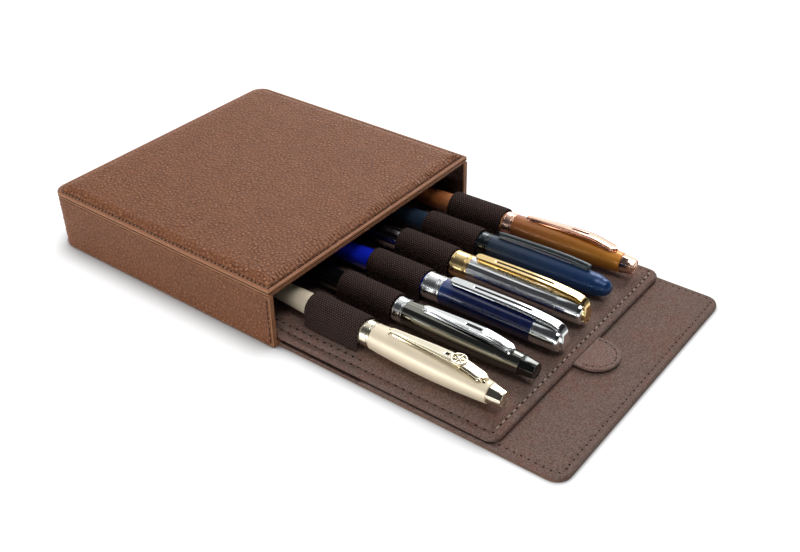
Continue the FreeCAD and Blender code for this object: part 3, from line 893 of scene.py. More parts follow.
def seam_places(spots, height):
    """Stitch places on an upward face: spots are (x, y, heading), height(x, y) is the surface."""
    return [Matrix.Translation((x, y, height(x, y))) @ Matrix.Rotation(heading, 4, "Z")
            for x, y, heading in spots]


# Sleeve

lid_low, lid_high = box_mm("lid_leather")
WALL_BACK = box_mm("wall_leather")[1].y
lining_low, lining_high = box_mm("wall_lining")
MOUTH = lid_low.y
SLEEVE_HALF = lid_high.x
SEAM_HEIGHT = lid_low.z
LID_FLAT = lid_high.z - QUICK_SWELL - SLOW_SWELL
lid_plan = Plan(SLEEVE_HALF, lid_low.y, lid_high.y, MOUTH_CORNER, BACK_CORNER)


def lid_top(x, y, depth):
    """The lid's padded face: rounded lip, stitched rim, and the swell inside it with its gathers."""
    z = LID_FLAT - bullnose(depth, LIP_ROUND) - LID_GROOVE * groove(depth, LID_SEAM, LID_GROOVE_HALF)
    z += (QUICK_SWELL * swell(depth, LID_SEAM + QUICK_START, QUICK_RUN)
          + SLOW_SWELL * swell(depth, SLOW_START, SLOW_RUN))
    side = plan_side(lid_plan, x, y)
    along = y if side == "side" else x
    drift = noise.noise(Vector((along / WANDER_SIZE, WANDER_ROW, SEED)))
    vigour = noise.noise(Vector((along / STRENGTH_SIZE, STRENGTH_ROW, SEED)))
    phase = 2 * math.pi * along / PUCKER_PITCH + WANDER * drift
    share, reach = (1.0, FRONT_REACH) if side == "front" else (SIDE_PUCKER, SIDE_REACH)
    strength = PUCKER * share * (STRENGTH_BASE + STRENGTH_SPREAD * vigour)
    fading = math.exp(-max(depth - LID_SEAM - PUCKER_START, 0) / reach)
    inside = clamp((depth - LID_SEAM) / PUCKER_START) * fading
    z += strength * inside * math.sin(phase)
    z += RIM_PUCKER * groove(depth, RIM_PUCKER_AT, RIM_PUCKER_HALF) * math.sin(phase)
    return z + LID_UNEVEN * ripple(x, y, LID_UNEVEN_SIZE) * clamp(depth / LID_UNEVEN_START)


def plan_side(plan, x, y):
    """Which edge a point is nearest: front, back or side."""
    out = plan.outward(x, y)
    if abs(out.y) > abs(out.x):
        return "front" if out.y < 0 else "back"
    return "side"


def build_lid():
    lip = LID_FLAT - LIP_ROUND
    line = lip - LINE_DROP
    seam = SEAM_HEIGHT + SEAM_RISE
    sides = [(inset, line + height) for inset, height in UPPER_BEAD]
    sides += [(inset, seam + height) for inset, height in LOWER_BEAD]
    sides.append((SEAM_TUCK[0], SEAM_HEIGHT + SEAM_TUCK[1]))
    bm = pad_mesh(lid_plan, LID_GRID, lid_top, sides, crowd=LID_CROWDING)
    for face in bm.faces:
        middle = face.calc_center_median()
        depth = lid_plan.depth(middle.x, middle.y)
        if depth < LID_RIM:
            face.material_index = 1
            # The grooves take the dark seam colour, partly dye and partly painted shade.
            if middle.z < lip and depth > PIPING_GROOVE / 2:
                face.material_index = 2
    lid = finished(bm, "lid_cushion", ["leather", "edge_leather", "seam_dye_and_shade"], "sleeve",
                   ("lid_leather", "lid_pad"))
    pebbled(lid, lambda p: lid_plan.depth(p.x, p.y) < LID_RIM + 0.3)

    def surface(x, y):
        return lid_top(x, y, lid_plan.depth(x, y))

    spots = lid_plan.walk(LID_SEAM, LID_STITCH.pitch)
    front = [s for s in spots if s[1] < MOUTH + LID_SEAM + 0.2]
    rest = [s for s in spots if s not in front]
    stitch_row("lid_stitches", seam_places(rest, surface), LID_STITCH, "brown_thread", "sleeve")
    stitch_row("lid_mouth_stitches", seam_places(front, surface), LID_MOUTH_STITCH, "dark_thread", "sleeve")


def sweep(bm, ring, moves):
    """Carry a ring of edges along: a move is (vector, steps) or (centre, degrees, steps) about Z."""
    for move in moves:
        if len(move) == 2:
            way, steps = move
            for _ in range(steps):
                ring = only(bmesh.types.BMEdge, bmesh.ops.extrude_edge_only(bm, edges=ring)["geom"])
                bmesh.ops.translate(bm, vec=Vector(way) / steps, verts=verts_of(ring))
        else:
            centre, degrees, steps = move
            made = bmesh.ops.spin(bm, geom=ring + verts_of(ring), cent=centre, axis=(0, 0, 1),
                                  angle=math.radians(degrees), steps=steps, use_merge=False)
            ring = only(bmesh.types.BMEdge, made["geom_last"])


def wall_depth(vertex):
    """How far a point of the wall lies inside its outer face, past the mouth's corners."""
    return lid_plan.depth(vertex.co.x, max(vertex.co.y, MOUTH + 40))


def build_wall():
    """Outer leather of the sides and back: one strip folded round the base and up to the seam."""
    outer = SLEEVE_HALF
    corner_y = WALL_BACK - BACK_CORNER
    foot_top = WALL_FOOT[-1][1]
    bm = bmesh.new()
    section = [(outer - inset, height) for inset, height in WALL_FOOT]
    section += [(outer, foot_top + WALL_ROW * i) for i in range(1, WALL_ROWS + 1)]
    section += [(outer - inset, height) for inset, height in WALL_LIP]
    section.append((outer - WALL_FOOT[0][0], SEAM_HEIGHT - WALL_TUCK))
    verts = [bm.verts.new((x, MOUTH, z)) for x, z in section]
    ring = [bm.edges.new((verts[i], verts[(i + 1) % len(verts)])) for i in range(len(verts))]
    side = corner_y - MOUTH
    across = 2 * (outer - BACK_CORNER)
    sweep(bm, ring, [((0, side, 0), SIDE_STEPS), ((outer - BACK_CORNER, corner_y, 0), 90, CORNER_STEPS),
                     ((-across, 0, 0), SIDE_STEPS), ((BACK_CORNER - outer, corner_y, 0), 90, CORNER_STEPS),
                     ((0, -side, 0), SIDE_STEPS)])
    bmesh.ops.remove_doubles(bm, verts=bm.verts, dist=0.001)
    show = [e for e in bm.edges if all(v.co.z > FACE_START for v in e.verts)]
    show = [e for e in show if any(abs(wall_depth(v)) < TOUCH for v in e.verts)]
    bmesh.ops.subdivide_edges(bm, edges=show, cuts=FACE_CUTS, use_grid_fill=True)
    bmesh.ops.holes_fill(bm, edges=bm.edges, sides=200)
    for vertex in bm.verts:
        hollow = WALL_UNEVEN * ripple(vertex.co.x + vertex.co.y, vertex.co.z, WALL_UNEVEN_SIZE)
        hollow *= clamp(vertex.co.z / WALL_UNEVEN_START)
        if abs(vertex.co.z - WALL_MIDDLE) < WALL_FLAT:
            vertex.co.x -= math.copysign(abs(hollow), vertex.co.x)
    bmesh.ops.recalc_face_normals(bm, faces=bm.faces)
    front = [e for e in bm.edges if all(abs(v.co.y - MOUTH) < TOUCH for v in e.verts)]
    bmesh.ops.bevel(bm, geom=front, offset=MOUTH_ROUND, offset_type="OFFSET", segments=3, profile=0.5,
                    affect="EDGES", clamp_overlap=True, material=-1)
    wall = finished(bm, "wall_cover", ["leather"], "sleeve", ("wall_leather",))
    pebbled(wall, lambda p: p.y < MOUTH + GRAIN_FRONT or p.z < GRAIN_LOW or p.z > GRAIN_HIGH)
    places = []
    count = int((SEAM_HEIGHT - MOUTH_SEAM) / WALL_STITCH.pitch)
    for side_x in (-outer, outer):
        turn = Matrix.Rotation(math.copysign(math.pi / 2, side_x), 4, "Y")
        for i in range(count):
            height = FIRST_STITCH + i * WALL_STITCH.pitch
            places.append(Matrix.Translation((side_x, MOUTH + MOUTH_SEAM, height)) @ turn)
    stitch_row("mouth_stitches", places, WALL_STITCH, "dark_thread", "sleeve")


def ring_of(bm, x_half, z_low, z_high, y):
    corners = [(-x_half, z_low), (x_half, z_low), (x_half, z_high), (-x_half, z_high)]
    verts = [bm.verts.new((x, y, z)) for x, z in corners]
    return [bm.edges.new((verts[i], verts[(i + 1) % 4])) for i in range(4)]


def build_mouth():
    """Turned edge round the mouth, inside the outer leather."""
    front = MOUTH + EDGE_SET_BACK
    lining_floor = box_mm("base_lining")[1].z
    bm = bmesh.new()
    outer = ring_of(bm, SLEEVE_HALF - EDGE_INSET, EDGE_GAP, SEAM_HEIGHT - EDGE_GAP, front)
    inner = ring_of(bm, -lining_low.x - EDGE_LAP, lining_floor, lining_high.z, front)
    bmesh.ops.bridge_loops(bm, edges=outer + inner)
    moved = only(bmesh.types.BMVert, bmesh.ops.extrude_face_region(bm, geom=bm.faces[:])["geom"])
    bmesh.ops.translate(bm, vec=(0, EDGE_DEEP, 0), verts=moved)
    bmesh.ops.recalc_face_normals(bm, faces=bm.faces)
    long_edges = [e for e in bm.edges if e.calc_length() > 20]
    bmesh.ops.subdivide_edges(bm, edges=long_edges, cuts=24, use_grid_fill=True)
    soften(bm, 50, EDGE_ROUND, 3)
    finished(bm, "mouth_edge", ["leather"], "sleeve", ("mouth_trim",))


# Tray

tray_low, tray_high = box_mm("tray_face")
under_low = box_mm("tray_underside")[0]
tab_low, tab_high = box_mm("pull_tab")
tray_plan = Plan(tray_high.x, tray_low.y, tray_high.y, TRAY_CORNER, TRAY_CORNER)
tab_plan = Plan(tab_high.x, tab_low.y, tab_high.y + TAB_TAIL, tab_high.x, 1.0)


def tray_top(x, y, depth):
    """The tray's suede: plump margin, stitch groove, and the boarded field a little higher."""
    wave = math.sin(2 * math.pi * (x + y) / TRAY_SIDE_STITCH.pitch)
    z = tray_high.z - MARGIN_DROP * (1 - swell(depth, TRAY_SEAM - FIELD_START, FIELD_RUN))
    z -= bullnose(depth, TRAY_ROUND) + TRAY_GROOVE * groove(depth, TRAY_SEAM, TRAY_GROOVE_HALF)
    z += MARGIN_WAVE * groove(depth, TRAY_SEAM - MARGIN_WAVE_IN, MARGIN_WAVE_HALF) * wave
    return z + TRAY_UNEVEN * ripple(x, y, TRAY_UNEVEN_SIZE) * clamp(depth / 3)


def tab_top(x, y, depth):
    z = tab_high.z - TAB_CREST - bullnose(depth, TAB_ROUND) - 0.25 * groove(depth, TAB_SEAM, 0.9)
    return z + 0.05 * ripple(x, y, 7)


def build_tray():
    base = tray_low.z
    sides = [(inset, base + height) for inset, height in TRAY_EDGE]
    bm = pad_mesh(tray_plan, TRAY_GRID, tray_top, sides, crowd=0.5)
    pad = finished(bm, "tray_pad", ["suede"], "tray", ("tray_face",))
    low = under_low.z
    corner = TRAY_CORNER - SHEET_INSET
    sheet_plan = Plan(tray_plan.half - SHEET_INSET, tray_plan.low + SHEET_INSET,
                      tray_plan.high - SHEET_INSET, corner, corner)
    bm = pad_mesh(sheet_plan, (60, 60), lambda x, y, depth: base - 0.03, [
        (0.0, base - 0.25), (0.1, base - 0.5), (0.45, low + 0.12), (0.9, low + 0.02)], crowd=0.5)
    finished(bm, "tray_under_sheet", ["suede"], "tray", ("tray_underside",))

    def surface(x, y):
        return tray_top(x, y, tray_plan.depth(x, y))

    spots = tray_plan.walk(TRAY_SEAM, TRAY_SIDE_STITCH.pitch)
    front = [s for s in spots if s[1] < tray_plan.low + TRAY_SEAM + 1.0]
    rest = [s for s in spots if s not in front]
    second = [(x + math.copysign(ANCHOR_IN, -x), y + ANCHOR_SHIFT, heading) for x, y, heading in rest
              if abs(x) > tray_plan.half - TRAY_SEAM - 0.5 and y > MOUTH - ANCHOR_RUN]
    stitch_row("tray_front_stitches", seam_places(front, surface), TRAY_FRONT_STITCH, "pale_thread", "tray")
    stitch_row("tray_side_stitches", seam_places(rest, surface), TRAY_SIDE_STITCH, "taupe_thread", "tray")
    stitch_row("loop_anchor_stitches", seam_places(second, surface), TRAY_SIDE_STITCH, "taupe_thread",
               "tray")


def build_tab():
    sides = [(inset, tab_low.z + height) for inset, height in TAB_EDGE]
    bm = pad_mesh(tab_plan, TAB_GRID, tab_top, sides, crowd=0.3, span=(tab_low.y, tab_high.y))
    finished(bm, "tab", ["pale_suede"], "tray", ("pull_tab",))

    def surface(x, y):
        return tab_top(x, y, tab_plan.depth(x, y))

    spots = [s for s in tab_plan.walk(TAB_SEAM, TAB_STITCH.pitch) if s[1] < tab_high.y - 1]
    stitch_row("tab_stitches", seam_places(spots, surface), TAB_STITCH, "taupe_thread", "tray")


# Flap

spine_low, spine_high = box_mm("spine_lining")
panel_low, panel_high = box_mm("panel_lining")
skin_top = box_mm("panel_leather")[1].z
FLAP_MIDDLE = (spine_low.y + spine_high.y) / 2
CREASE = (spine_low.y + panel_high.y) / 2
flap_plan = Plan(panel_high.x, panel_low.y, MOUTH + FLAP_TAIL, FLAP_CORNER, 1.0)


def flap_top(x, y, depth):
    """The flap's suede: thin along the soft spine, higher over the board, thin at the stitched edge."""
    boarded = clamp((CREASE - y) / CREASE_RUN)
    z = spine_high.z + (panel_high.z - spine_high.z) * boarded
    z -= 0.5 * boarded * (1 - swell(depth, FLAP_SEAM - 1, 3.0))
    z -= bullnose(depth, FLAP_ROUND) + 0.3 * groove(depth, FLAP_SEAM, 1.0)
    z -= CREASE_DEEP * groove(y, CREASE, CREASE_HALF)
    return z + 0.1 * ripple(x, y, 20) * clamp(depth / 3)


def flap_sheet(name, span, counts, kind, replaced):
    """One ply of the flap over a stretch in Y, left on no body."""
    if kind == "suede":
        under = skin_top + PLY_GAP
        sides = [(0.0, under)]
        top = flap_top
    else:
        under = FLAP_FLOOR
        sides = [(0.1, 0.45), (0.35, 0.15), (0.8, FLAP_FLOOR)]

        def top(x, y, depth):
            return skin_top

    bm = pad_mesh(flap_plan, counts, top, sides, crowd=0.35, span=span, underside=lambda x, y, depth: under)
    piece = finished(bm, name, [kind], None, replaced)
    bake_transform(piece)


def build_flap():
    root = MOUTH - 0.02
    near = (FLAP_MIDDLE, root)
    far = (flap_plan.low, FLAP_MIDDLE)
    flap_sheet("spine_lining_sheet", near, (150, 40), "suede", ("spine_lining",))
    flap_sheet("spine_skin", near, (60, 24), "leather", ("spine_leather",))
    flap_sheet("flap_lining", far, (150, 150), "suede", ("panel_lining",))
    flap_sheet("flap_skin", far, (60, 90), "leather", ("panel_leather",))

    def surface(x, y):
        return flap_top(x, y, flap_plan.depth(x, y))

    spots = [s for s in flap_plan.walk(FLAP_SEAM, FLAP_STITCH.pitch) if s[1] < CREASE - 8]
    stitch_row("flap_stitches", seam_places(spots, surface), FLAP_STITCH, "taupe_thread", "flap_panel")


# Pens: each is modelled along its own axis, distances measured from the cap's lip towards the crown

JOINTS = {joint["name"]: joint for joint in frame["joints"]}


class PenFrame:
    """Where a pen lies: its lip, its axis, and sizes measured on its CAD nodes."""

    def __init__(self, number, turn):
        self.number = number
        self.body = "pen_%d" % number
        self.axis = Vector(JOINTS["pen_%d_slide" % number]["axis"]).normalized()
        low, high = box_mm("pen_%d_band" % number)
        centre = (low + high) / 2
        along = [(Vector(v.co) / MM - centre).dot(self.axis)
                 for v in frame["nodes"]["pen_%d_band" % number].data.vertices]
        lip = centre + self.axis * min(along)
        side = Vector((0, 0, 1)).cross(self.axis)
        flat = Matrix((side, -self.axis, Vector((0, 0, 1)))).transposed().to_4x4()
        self.flat = Matrix.Translation(lip) @ flat
        self.place = self.flat @ Matrix.Rotation(math.radians(turn), 4, "Y")
        self.band = max(along) - min(along)
        self.known = {}

    def points(self, part):
        """(distance from the lip, radius) of a CAD node's vertices."""
        if part not in self.known:
            back = self.flat.inverted()
            found = []
            for v in frame["nodes"]["pen_%d_%s" % (self.number, part)].data.vertices:
                local = back @ (Vector(v.co) / MM)
                found.append((-local.y, math.hypot(local.x, local.z)))
            self.known[part] = found
        return self.known[part]

    def reach(self, part):
        distances = [p[0] for p in self.points(part)]
        return min(distances), max(distances)

    def radius(self, part, distance, near=0.06):
        return max([p[1] for p in self.points(part) if abs(p[0] - distance) < near] or [0.0])


def spun(profile, steps=TURN_STEPS):
    """A closed solid of revolution about Y; the profile lists (distance, radius)."""
    bm = bmesh.new()
    verts = [bm.verts.new((0, -distance, radius)) for distance, radius in profile]
    edges = [bm.edges.new((verts[i], verts[i + 1])) for i in range(len(verts) - 1)]
    if profile[0][1] > 0:
        edges.append(bm.edges.new((verts[-1], verts[0])))
    bmesh.ops.spin(bm, geom=verts + edges, cent=(0, 0, 0), axis=(0, 1, 0), angle=2 * math.pi,
                   steps=steps, use_merge=True)
    bmesh.ops.remove_doubles(bm, verts=bm.verts, dist=0.0005)
    bmesh.ops.recalc_face_normals(bm, faces=bm.faces)
    return bm


def filleted(points, radius, steps=3):
    """A profile with its corners rounded, as far as the neighbouring runs allow."""
    made = [points[0]]
    for before, corner, after in zip(points, points[1:], points[2:]):
        a, b, c = Vector(before), Vector(corner), Vector(after)
        reach = min(radius, (a - b).length * 0.45, (c - b).length * 0.45)
        start = b + (a - b).normalized() * reach
        end = b + (c - b).normalized() * reach
        for i in range(steps + 1):
            t = i / steps
            spot = start * (1 - t) ** 2 + b * 2 * t * (1 - t) + end * t * t
            made.append(tuple(spot))
    made.append(points[-1])
    return made


def bowed(start, middle, end, steps=18):
    """A shallow curve through three points given as (distance, radius)."""
    a, m, b = Vector(start), Vector(middle), Vector(end)
    lift = m - (a + b) / 2
    return [tuple(a.lerp(b, i / steps) + lift * (1 - (2 * i / steps - 1) ** 2)) for i in range(steps + 1)]


def domed(start, radius, length, steps=10):
    """A rounded end: from (start, radius) to the axis, length further on."""
    made = []
    for i in range(1, steps + 1):
        angle = math.pi / 2 * i / steps
        made.append((start + length * math.sin(angle), radius * math.cos(angle) if i < steps else 0.0))
    return made


def wrap_uv(bm):
    """UV for a pen part: X in turns about the axis, Y in centimetres along it."""
    layer = bm.loops.layers.uv.new("UVMap")
    for face in bm.faces:
        centre = face.calc_center_median()
        middle = math.atan2(centre.x, centre.z)
        for loop in face.loops:
            angle = math.atan2(loop.vert.co.x, loop.vert.co.z)
            if math.hypot(loop.vert.co.x, loop.vert.co.z) < 0.01:
                angle = middle
            angle += 2 * math.pi * round((middle - angle) / (2 * math.pi))
            loop[layer].uv = (angle / (2 * math.pi), -loop.vert.co.y / 10)


def pen_piece(bm, pen, part, finish, turned=False, replaced=True, sharp=35.0):
    """Lay a pen's part in its place; a turned one stands at the angle that the pen is rolled to."""
    wrap_uv(bm)
    bmesh.ops.transform(bm, matrix=pen.place if turned else pen.flat, verts=bm.verts)
    name = "pen_%d_%s" % (pen.number, part)
    nodes = (name,) if replaced else ()
    finished(bm, name + "_form", [finish], pen.body, nodes, sharp)


def build_barrel(pen, look):
    tail, tenon_end = pen.reach("barrel")
    full = pen.radius("barrel", 0.0)
    end = look.tail
    nose = tail + end
    body = bowed((0.0, full), (nose / 2, full - 0.28 * (full - end)), (nose, end))
    bore = full - 1.2
    profile = [(tenon_end, 0.0), (tenon_end, bore), (0.05, bore), (0.05, full - 0.15)] + body[1:]
    profile += [(nose - (d - nose), r) for d, r in domed(nose, end, end)]
    pen_piece(spun(profile), pen, "barrel", look.barrel)


def build_band(pen, look):
    """The ring at the cap's lip: a plain field between raised rims."""
    length = pen.band
    radius = pen.radius("band", length / 2, 0.3)
    top = max(p[1] for p in pen.points("band"))
    rim = max(0.55, length / 9)
    proud = top - 0.02
    field = proud - 0.14
    bore = radius - WALL
    points = [(0.0, bore), (0.0, field), (0.06, proud), (rim, proud), (rim + 0.08, field)]
    for i in range(look.rings):
        at = length - rim - 0.2 - (look.rings - i) * 0.75
        points += [(at, field), (at + 0.08, field - 0.16), (at + 0.3, field - 0.16), (at + 0.38, field)]
    points += [(length - rim - 0.08, field), (length - rim, proud), (length - 0.06, proud), (length, field),
               (length, bore)]
    pen_piece(spun(filleted(points, 0.07, 2)), pen, "band", "satin_" + look.trim, sharp=50.0)


def build_cap(pen, look):
    start, end = pen.reach("cap")
    middle = (start + end) / 2
    lip = pen.radius("cap", start)
    shoulder = pen.radius("cap", end)
    belly = max(p[1] for p in pen.points("cap"))
    outer = bowed((start, lip), (middle, belly), (end, shoulder), 28)
    inside = [(end - 1.6, 0.0), (end - 1.6, shoulder - 1.6), (middle, belly - WALL), (start, lip - WALL)]
    profile = inside + outer[:-1] + [(end - 0.08, shoulder), (end, shoulder - 0.12), (end, 0.0)]
    pen_piece(spun(profile), pen, "cap", look.body)


def build_crown(pen, look):
    """The cap's end: a faceted taper, a drum, or a dome."""
    base, far = pen.reach("crown")
    wide = pen.radius("crown", base, 0.1)
    if look.crown == "dome":
        start = far - look.tip
        outer = bowed((base, wide), ((base + start) / 2, (wide + look.tip) / 2 + 0.3), (start, look.tip), 8)
        profile = [(base, 0.0)] + outer + domed(start, look.tip, look.tip)
        pen_piece(spun(profile), pen, "crown", look.crown_look)
        return
    if look.crown == "drum":
        points = [(base, 0.0), (base, wide - 0.2), (base, wide + 0.02), (base + 0.7, wide + 0.02),
                  (base + 0.8, wide - 0.15), (base + 1.1, wide - 0.15), (base + 1.2, wide + 0.02),
                  (far - 2.4, look.tip + 0.1), (far - 0.7, look.tip - 0.45), (far, look.tip - 2.6),
                  (far, 0.0)]
        pen_piece(spun(filleted(points, 0.5, 4)), pen, "crown", look.crown_look)
        return
    bm = bmesh.new()
    middle = -(base + far) / 2
    lie = Matrix.Translation((0, middle, 0)) @ Matrix.Rotation(math.pi / 2, 4, "X")
    lie = lie @ Matrix.Rotation(math.pi / FACETS, 4, "Z")
    bmesh.ops.create_cone(bm, cap_ends=True, segments=FACETS, radius1=wide, radius2=look.tip,
                          depth=far - base - 0.3, matrix=lie)
    ends = [f for f in bm.faces if len(f.verts) == FACETS and f.calc_center_median().y < middle]
    for thickness, depth in ((0.45, 0.0), (0.25, -0.35), (look.tip * 0.3, 0.0), (0.2, 0.3)):
        bmesh.ops.inset_individual(bm, faces=ends, thickness=thickness, depth=depth)
    soften(bm, 25, 0.12, 2)
    pen_piece(bm, pen, "crown", look.crown_look, turned=True, sharp=20.0)


def clip_path(points, steps):
    """A smooth way through (distance, height) points: places and upward directions, evenly spread."""
    curve = [Vector((p[0], p[1])) for p in points]
    fine = []
    count = len(curve)
    for i in range(count - 1):
        p0 = curve[max(i - 1, 0)]
        p1, p2 = curve[i], curve[i + 1]
        p3 = curve[min(i + 2, count - 1)]
        for k in range(24):
            t = k / 24
            fine.append(0.5 * (2 * p1 + (p2 - p0) * t + (2 * p0 - 5 * p1 + 4 * p2 - p3) * t * t
                               + (3 * p1 - p0 - 3 * p2 + p3) * t ** 3))
    fine.append(curve[-1])
    lengths = [0.0]
    for a, b in zip(fine, fine[1:]):
        lengths.append(lengths[-1] + (b - a).length)
    made = []
    for i in range(steps + 1):
        even = i / steps
        want = lengths[-1] * (0.6 * even + 0.2 * (1 - math.cos(math.pi * even)))
        k = max(j for j in range(len(lengths) - 1) if lengths[j] <= want + 1e-9)
        part = (want - lengths[k]) / max(lengths[k + 1] - lengths[k], 1e-9)
        spot = fine[k].lerp(fine[k + 1], part)
        way = (fine[k + 1] - fine[k]).normalized()
        made.append((spot, Vector((-way.y, way.x)), want))
    return made, lengths[-1]


def clip_way(pen, look):
    """The clip's underside seen from the side: (distance, height) points and how long it is."""
    start, far = pen.reach("clip")
    lip = pen.radius("band", pen.band / 2, 0.5)
    belly = max(p[1] for p in pen.points("cap"))
    shoulder = pen.radius("cap", pen.reach("cap")[1])
    middle = (start + far) / 2
    if look.clip == "wrap":
        tip = look.tip
        points = [(start, lip + 0.8), (middle - 12, belly + 1.3), (middle + 8, belly + 1.4),
                  (far - 10, tip + 1.2), (far - 5, tip + 0.4), (far - 2.4, tip - 1.2),
                  (far - 1.7, 0.0), (far - 1.7, -tip * 0.72)]
    else:
        points = [(start, lip + 0.6), (start + 6, lip + 1.0), (middle, belly + 1.3),
                  (far - 14, belly + 1.2), (far - 5, shoulder + 1.3), (far - 1, shoulder + 0.8)]
    return clip_path(points, CLIP_ROWS)


def clip_half_width(look, at, total):
    """Half the clip's width, at a distance from its free end."""
    half = look.clip_width / 2
    if look.clip == "wrap":
        chamfer = 0.55 + 0.45 * clamp(at / 1.1)
        left = clamp((total - at) / END_PLATE)
        plate = 1 + END_SPREAD * math.sin(math.pi * min(END_RISE * left, 1.0)) ** 0.8
        closing = math.sqrt(1 - (1 - clamp(left / END_ROUND)) ** 2)
        return max(half * chamfer * (0.9 + 0.1 * clamp(3 * at / total)) * plate * closing, TIP_HALF)
    wide = half
    if look.clip == "leaf":
        wide = half * (0.5 + 0.5 * math.sin(clamp(at / total / 0.74) * math.pi / 2) ** 1.3)
    near = math.sqrt(clamp(1 - (1 - clamp(at / (wide * 1.3))) ** 2))
    away = math.sqrt(clamp(1 - (1 - clamp((total - at) / (half * 1.1))) ** 2))
    return max(wide * min(near, away), TIP_HALF)


def clip_lift(look, across):
    """How far the clip's face stands above its underside; across runs from 0 in the middle to 1."""
    lift = look.clip_thick - 0.16 * clamp((across - 0.9) / 0.1)
    if look.clip == "rod":
        return lift + look.crowned * math.sqrt(1 - across * across)
    lift += look.crowned * (1 - across * across)
    if any(low < across < high for low, high in CLIP_LINES[:look.lines]):
        lift -= LINE_DEPTH
    return lift


def outwards(bm):
    """Turn an open strip's faces up, away from the pen."""
    bmesh.ops.recalc_face_normals(bm, faces=bm.faces)
    if sum(f.normal.z for f in bm.faces) < 0:
        bmesh.ops.reverse_faces(bm, faces=bm.faces)


def build_clip(pen, look):
    """A sprung clip: a shaped strip along the cap, lined or slotted, then thickened and softened."""
    path, total = clip_way(pen, look)
    columns = ROD_COLUMNS if look.clip == "rod" else CLIP_COLUMNS
    spread = [-c for c in reversed(columns[1:])] + list(columns)
    bm = bmesh.new()
    bmesh.ops.create_grid(bm, x_segments=len(spread) - 1, y_segments=CLIP_ROWS, size=1)
    for vertex in bm.verts:
        row = round((vertex.co.y + 1) / 2 * CLIP_ROWS)
        column = spread[round((vertex.co.x + 1) / 2 * (len(spread) - 1))]
        spot, up, at = path[row]
        lift = clip_lift(look, abs(column))
        vertex.co = Vector((column * clip_half_width(look, at, total), -(spot.x + up.x * lift),
                            spot.y + up.y * lift))
    if look.slot:
        low, high = look.slot
        reach = look.clip_width / 2 * (SLOT_SHARE - SLOT_PLAY)
        centres = [(face, face.calc_center_median()) for face in bm.faces]
        gone = [face for face, centre in centres if low < -centre.y < high and abs(centre.x) < reach]
        bmesh.ops.delete(bm, geom=gone, context="FACES")
    outwards(bm)
    bmesh.ops.solidify(bm, geom=bm.faces[:], thickness=look.clip_thick)
    soften(bm, 60, 0.12, 2)
    if look.clip != "wrap":
        add_foot(bm, pen, look)
    pen_piece(bm, pen, "clip", look.clip_look, turned=True, sharp=60.0 if look.clip == "rod" else 30.0)
    if look.slot:
        build_insert(pen, look, path, total)
    if look.openwork:
        build_openwork(pen, look, path)


def add_foot(bm, pen, look):
    """The post that carries the clip on the cap."""
    far = pen.reach("clip")[1]
    belly = max(p[1] for p in pen.points("cap"))
    shoulder = pen.radius("cap", pen.reach("cap")[1])
    foot = bmesh.ops.create_cube(bm, size=1)["verts"]
    for v in foot:
        back = v.co.y > 0
        radius = belly if back else shoulder
        height = radius + 1.2 if v.co.z > 0 else radius - 1.3
        v.co = Vector((v.co.x * look.clip_width * 0.62, 11 - far if back else 2.2 - far, height))
    edges = list({e for v in foot for e in v.link_edges})
    bmesh.ops.bevel(bm, geom=edges, offset=0.35, offset_type="OFFSET", segments=2, profile=0.5,
                    affect="EDGES", clamp_overlap=True, material=-1)


def build_insert(pen, look, path, total):
    """The dark inlay that lies in the clip's slot, close under its face."""
    low, high = look.slot
    rows = [row for row in path if low - 0.6 < row[0].x < high + 0.6]
    bm = bmesh.new()
    bmesh.ops.create_grid(bm, x_segments=4, y_segments=len(rows) - 1, size=1)
    lift = look.clip_thick + look.crowned - INLAY_DEPTH
    for vertex in bm.verts:
        spot, up, at = rows[round((vertex.co.y + 1) / 2 * (len(rows) - 1))]
        half = clip_half_width(look, at, total) * SLOT_SHARE
        vertex.co = Vector((vertex.co.x * half, -(spot.x + up.x * lift), spot.y + up.y * lift))
    outwards(bm)
    bmesh.ops.solidify(bm, geom=bm.faces[:], thickness=INLAY_THICK)
    pen_piece(bm, pen, "clip_inlay", "dark_inlay", turned=True, replaced=False)


def build_openwork(pen, look, path):
    """A plain openwork ring on the clip: a rim, six spokes and a bead."""
    seat = min(path, key=lambda row: abs(row[0].x - look.openwork))
    spot, up, _ = seat
    lean = math.atan2(up.x, up.y)
    centre = Matrix.Translation((0, -spot.x, spot.y + look.clip_thick + 0.35))
    centre = centre @ Matrix.Rotation(lean, 4, "X")
    bm = bmesh.new()
    lie = Matrix.Translation((RING_RADIUS, 0, 0)) @ Matrix.Rotation(math.pi / 2, 4, "X")
    circle = bmesh.ops.create_circle(bm, segments=10, radius=RING_ROD, matrix=lie)
    edges = list({e for v in circle["verts"] for e in v.link_edges})
    bmesh.ops.spin(bm, geom=circle["verts"] + edges, cent=(0, 0, 0), axis=(0, 0, 1), angle=2 * math.pi,
                   steps=40, use_merge=True)
    for i in range(RING_SPOKES):
        turn = Matrix.Rotation(2 * math.pi / RING_SPOKES * i, 4, "Z")
        turn = turn @ Matrix.Translation((RING_RADIUS / 2, 0, 0.1))
        bmesh.ops.create_cone(bm, cap_ends=True, segments=8, radius1=0.4, radius2=0.26, depth=RING_RADIUS,
                              matrix=turn @ Matrix.Rotation(math.pi / 2, 4, "Y"))
    bmesh.ops.create_uvsphere(bm, u_segments=16, v_segments=10, radius=0.85,
                              matrix=Matrix.Translation((0, 0, 0.15)) @ Matrix.Diagonal((1, 1, 0.7, 1)))
    bmesh.ops.recalc_face_normals(bm, faces=bm.faces)
    bmesh.ops.transform(bm, matrix=centre, verts=bm.verts)
    pen_piece(bm, pen, "openwork", look.clip_look, turned=True, replaced=False, sharp=50.0)


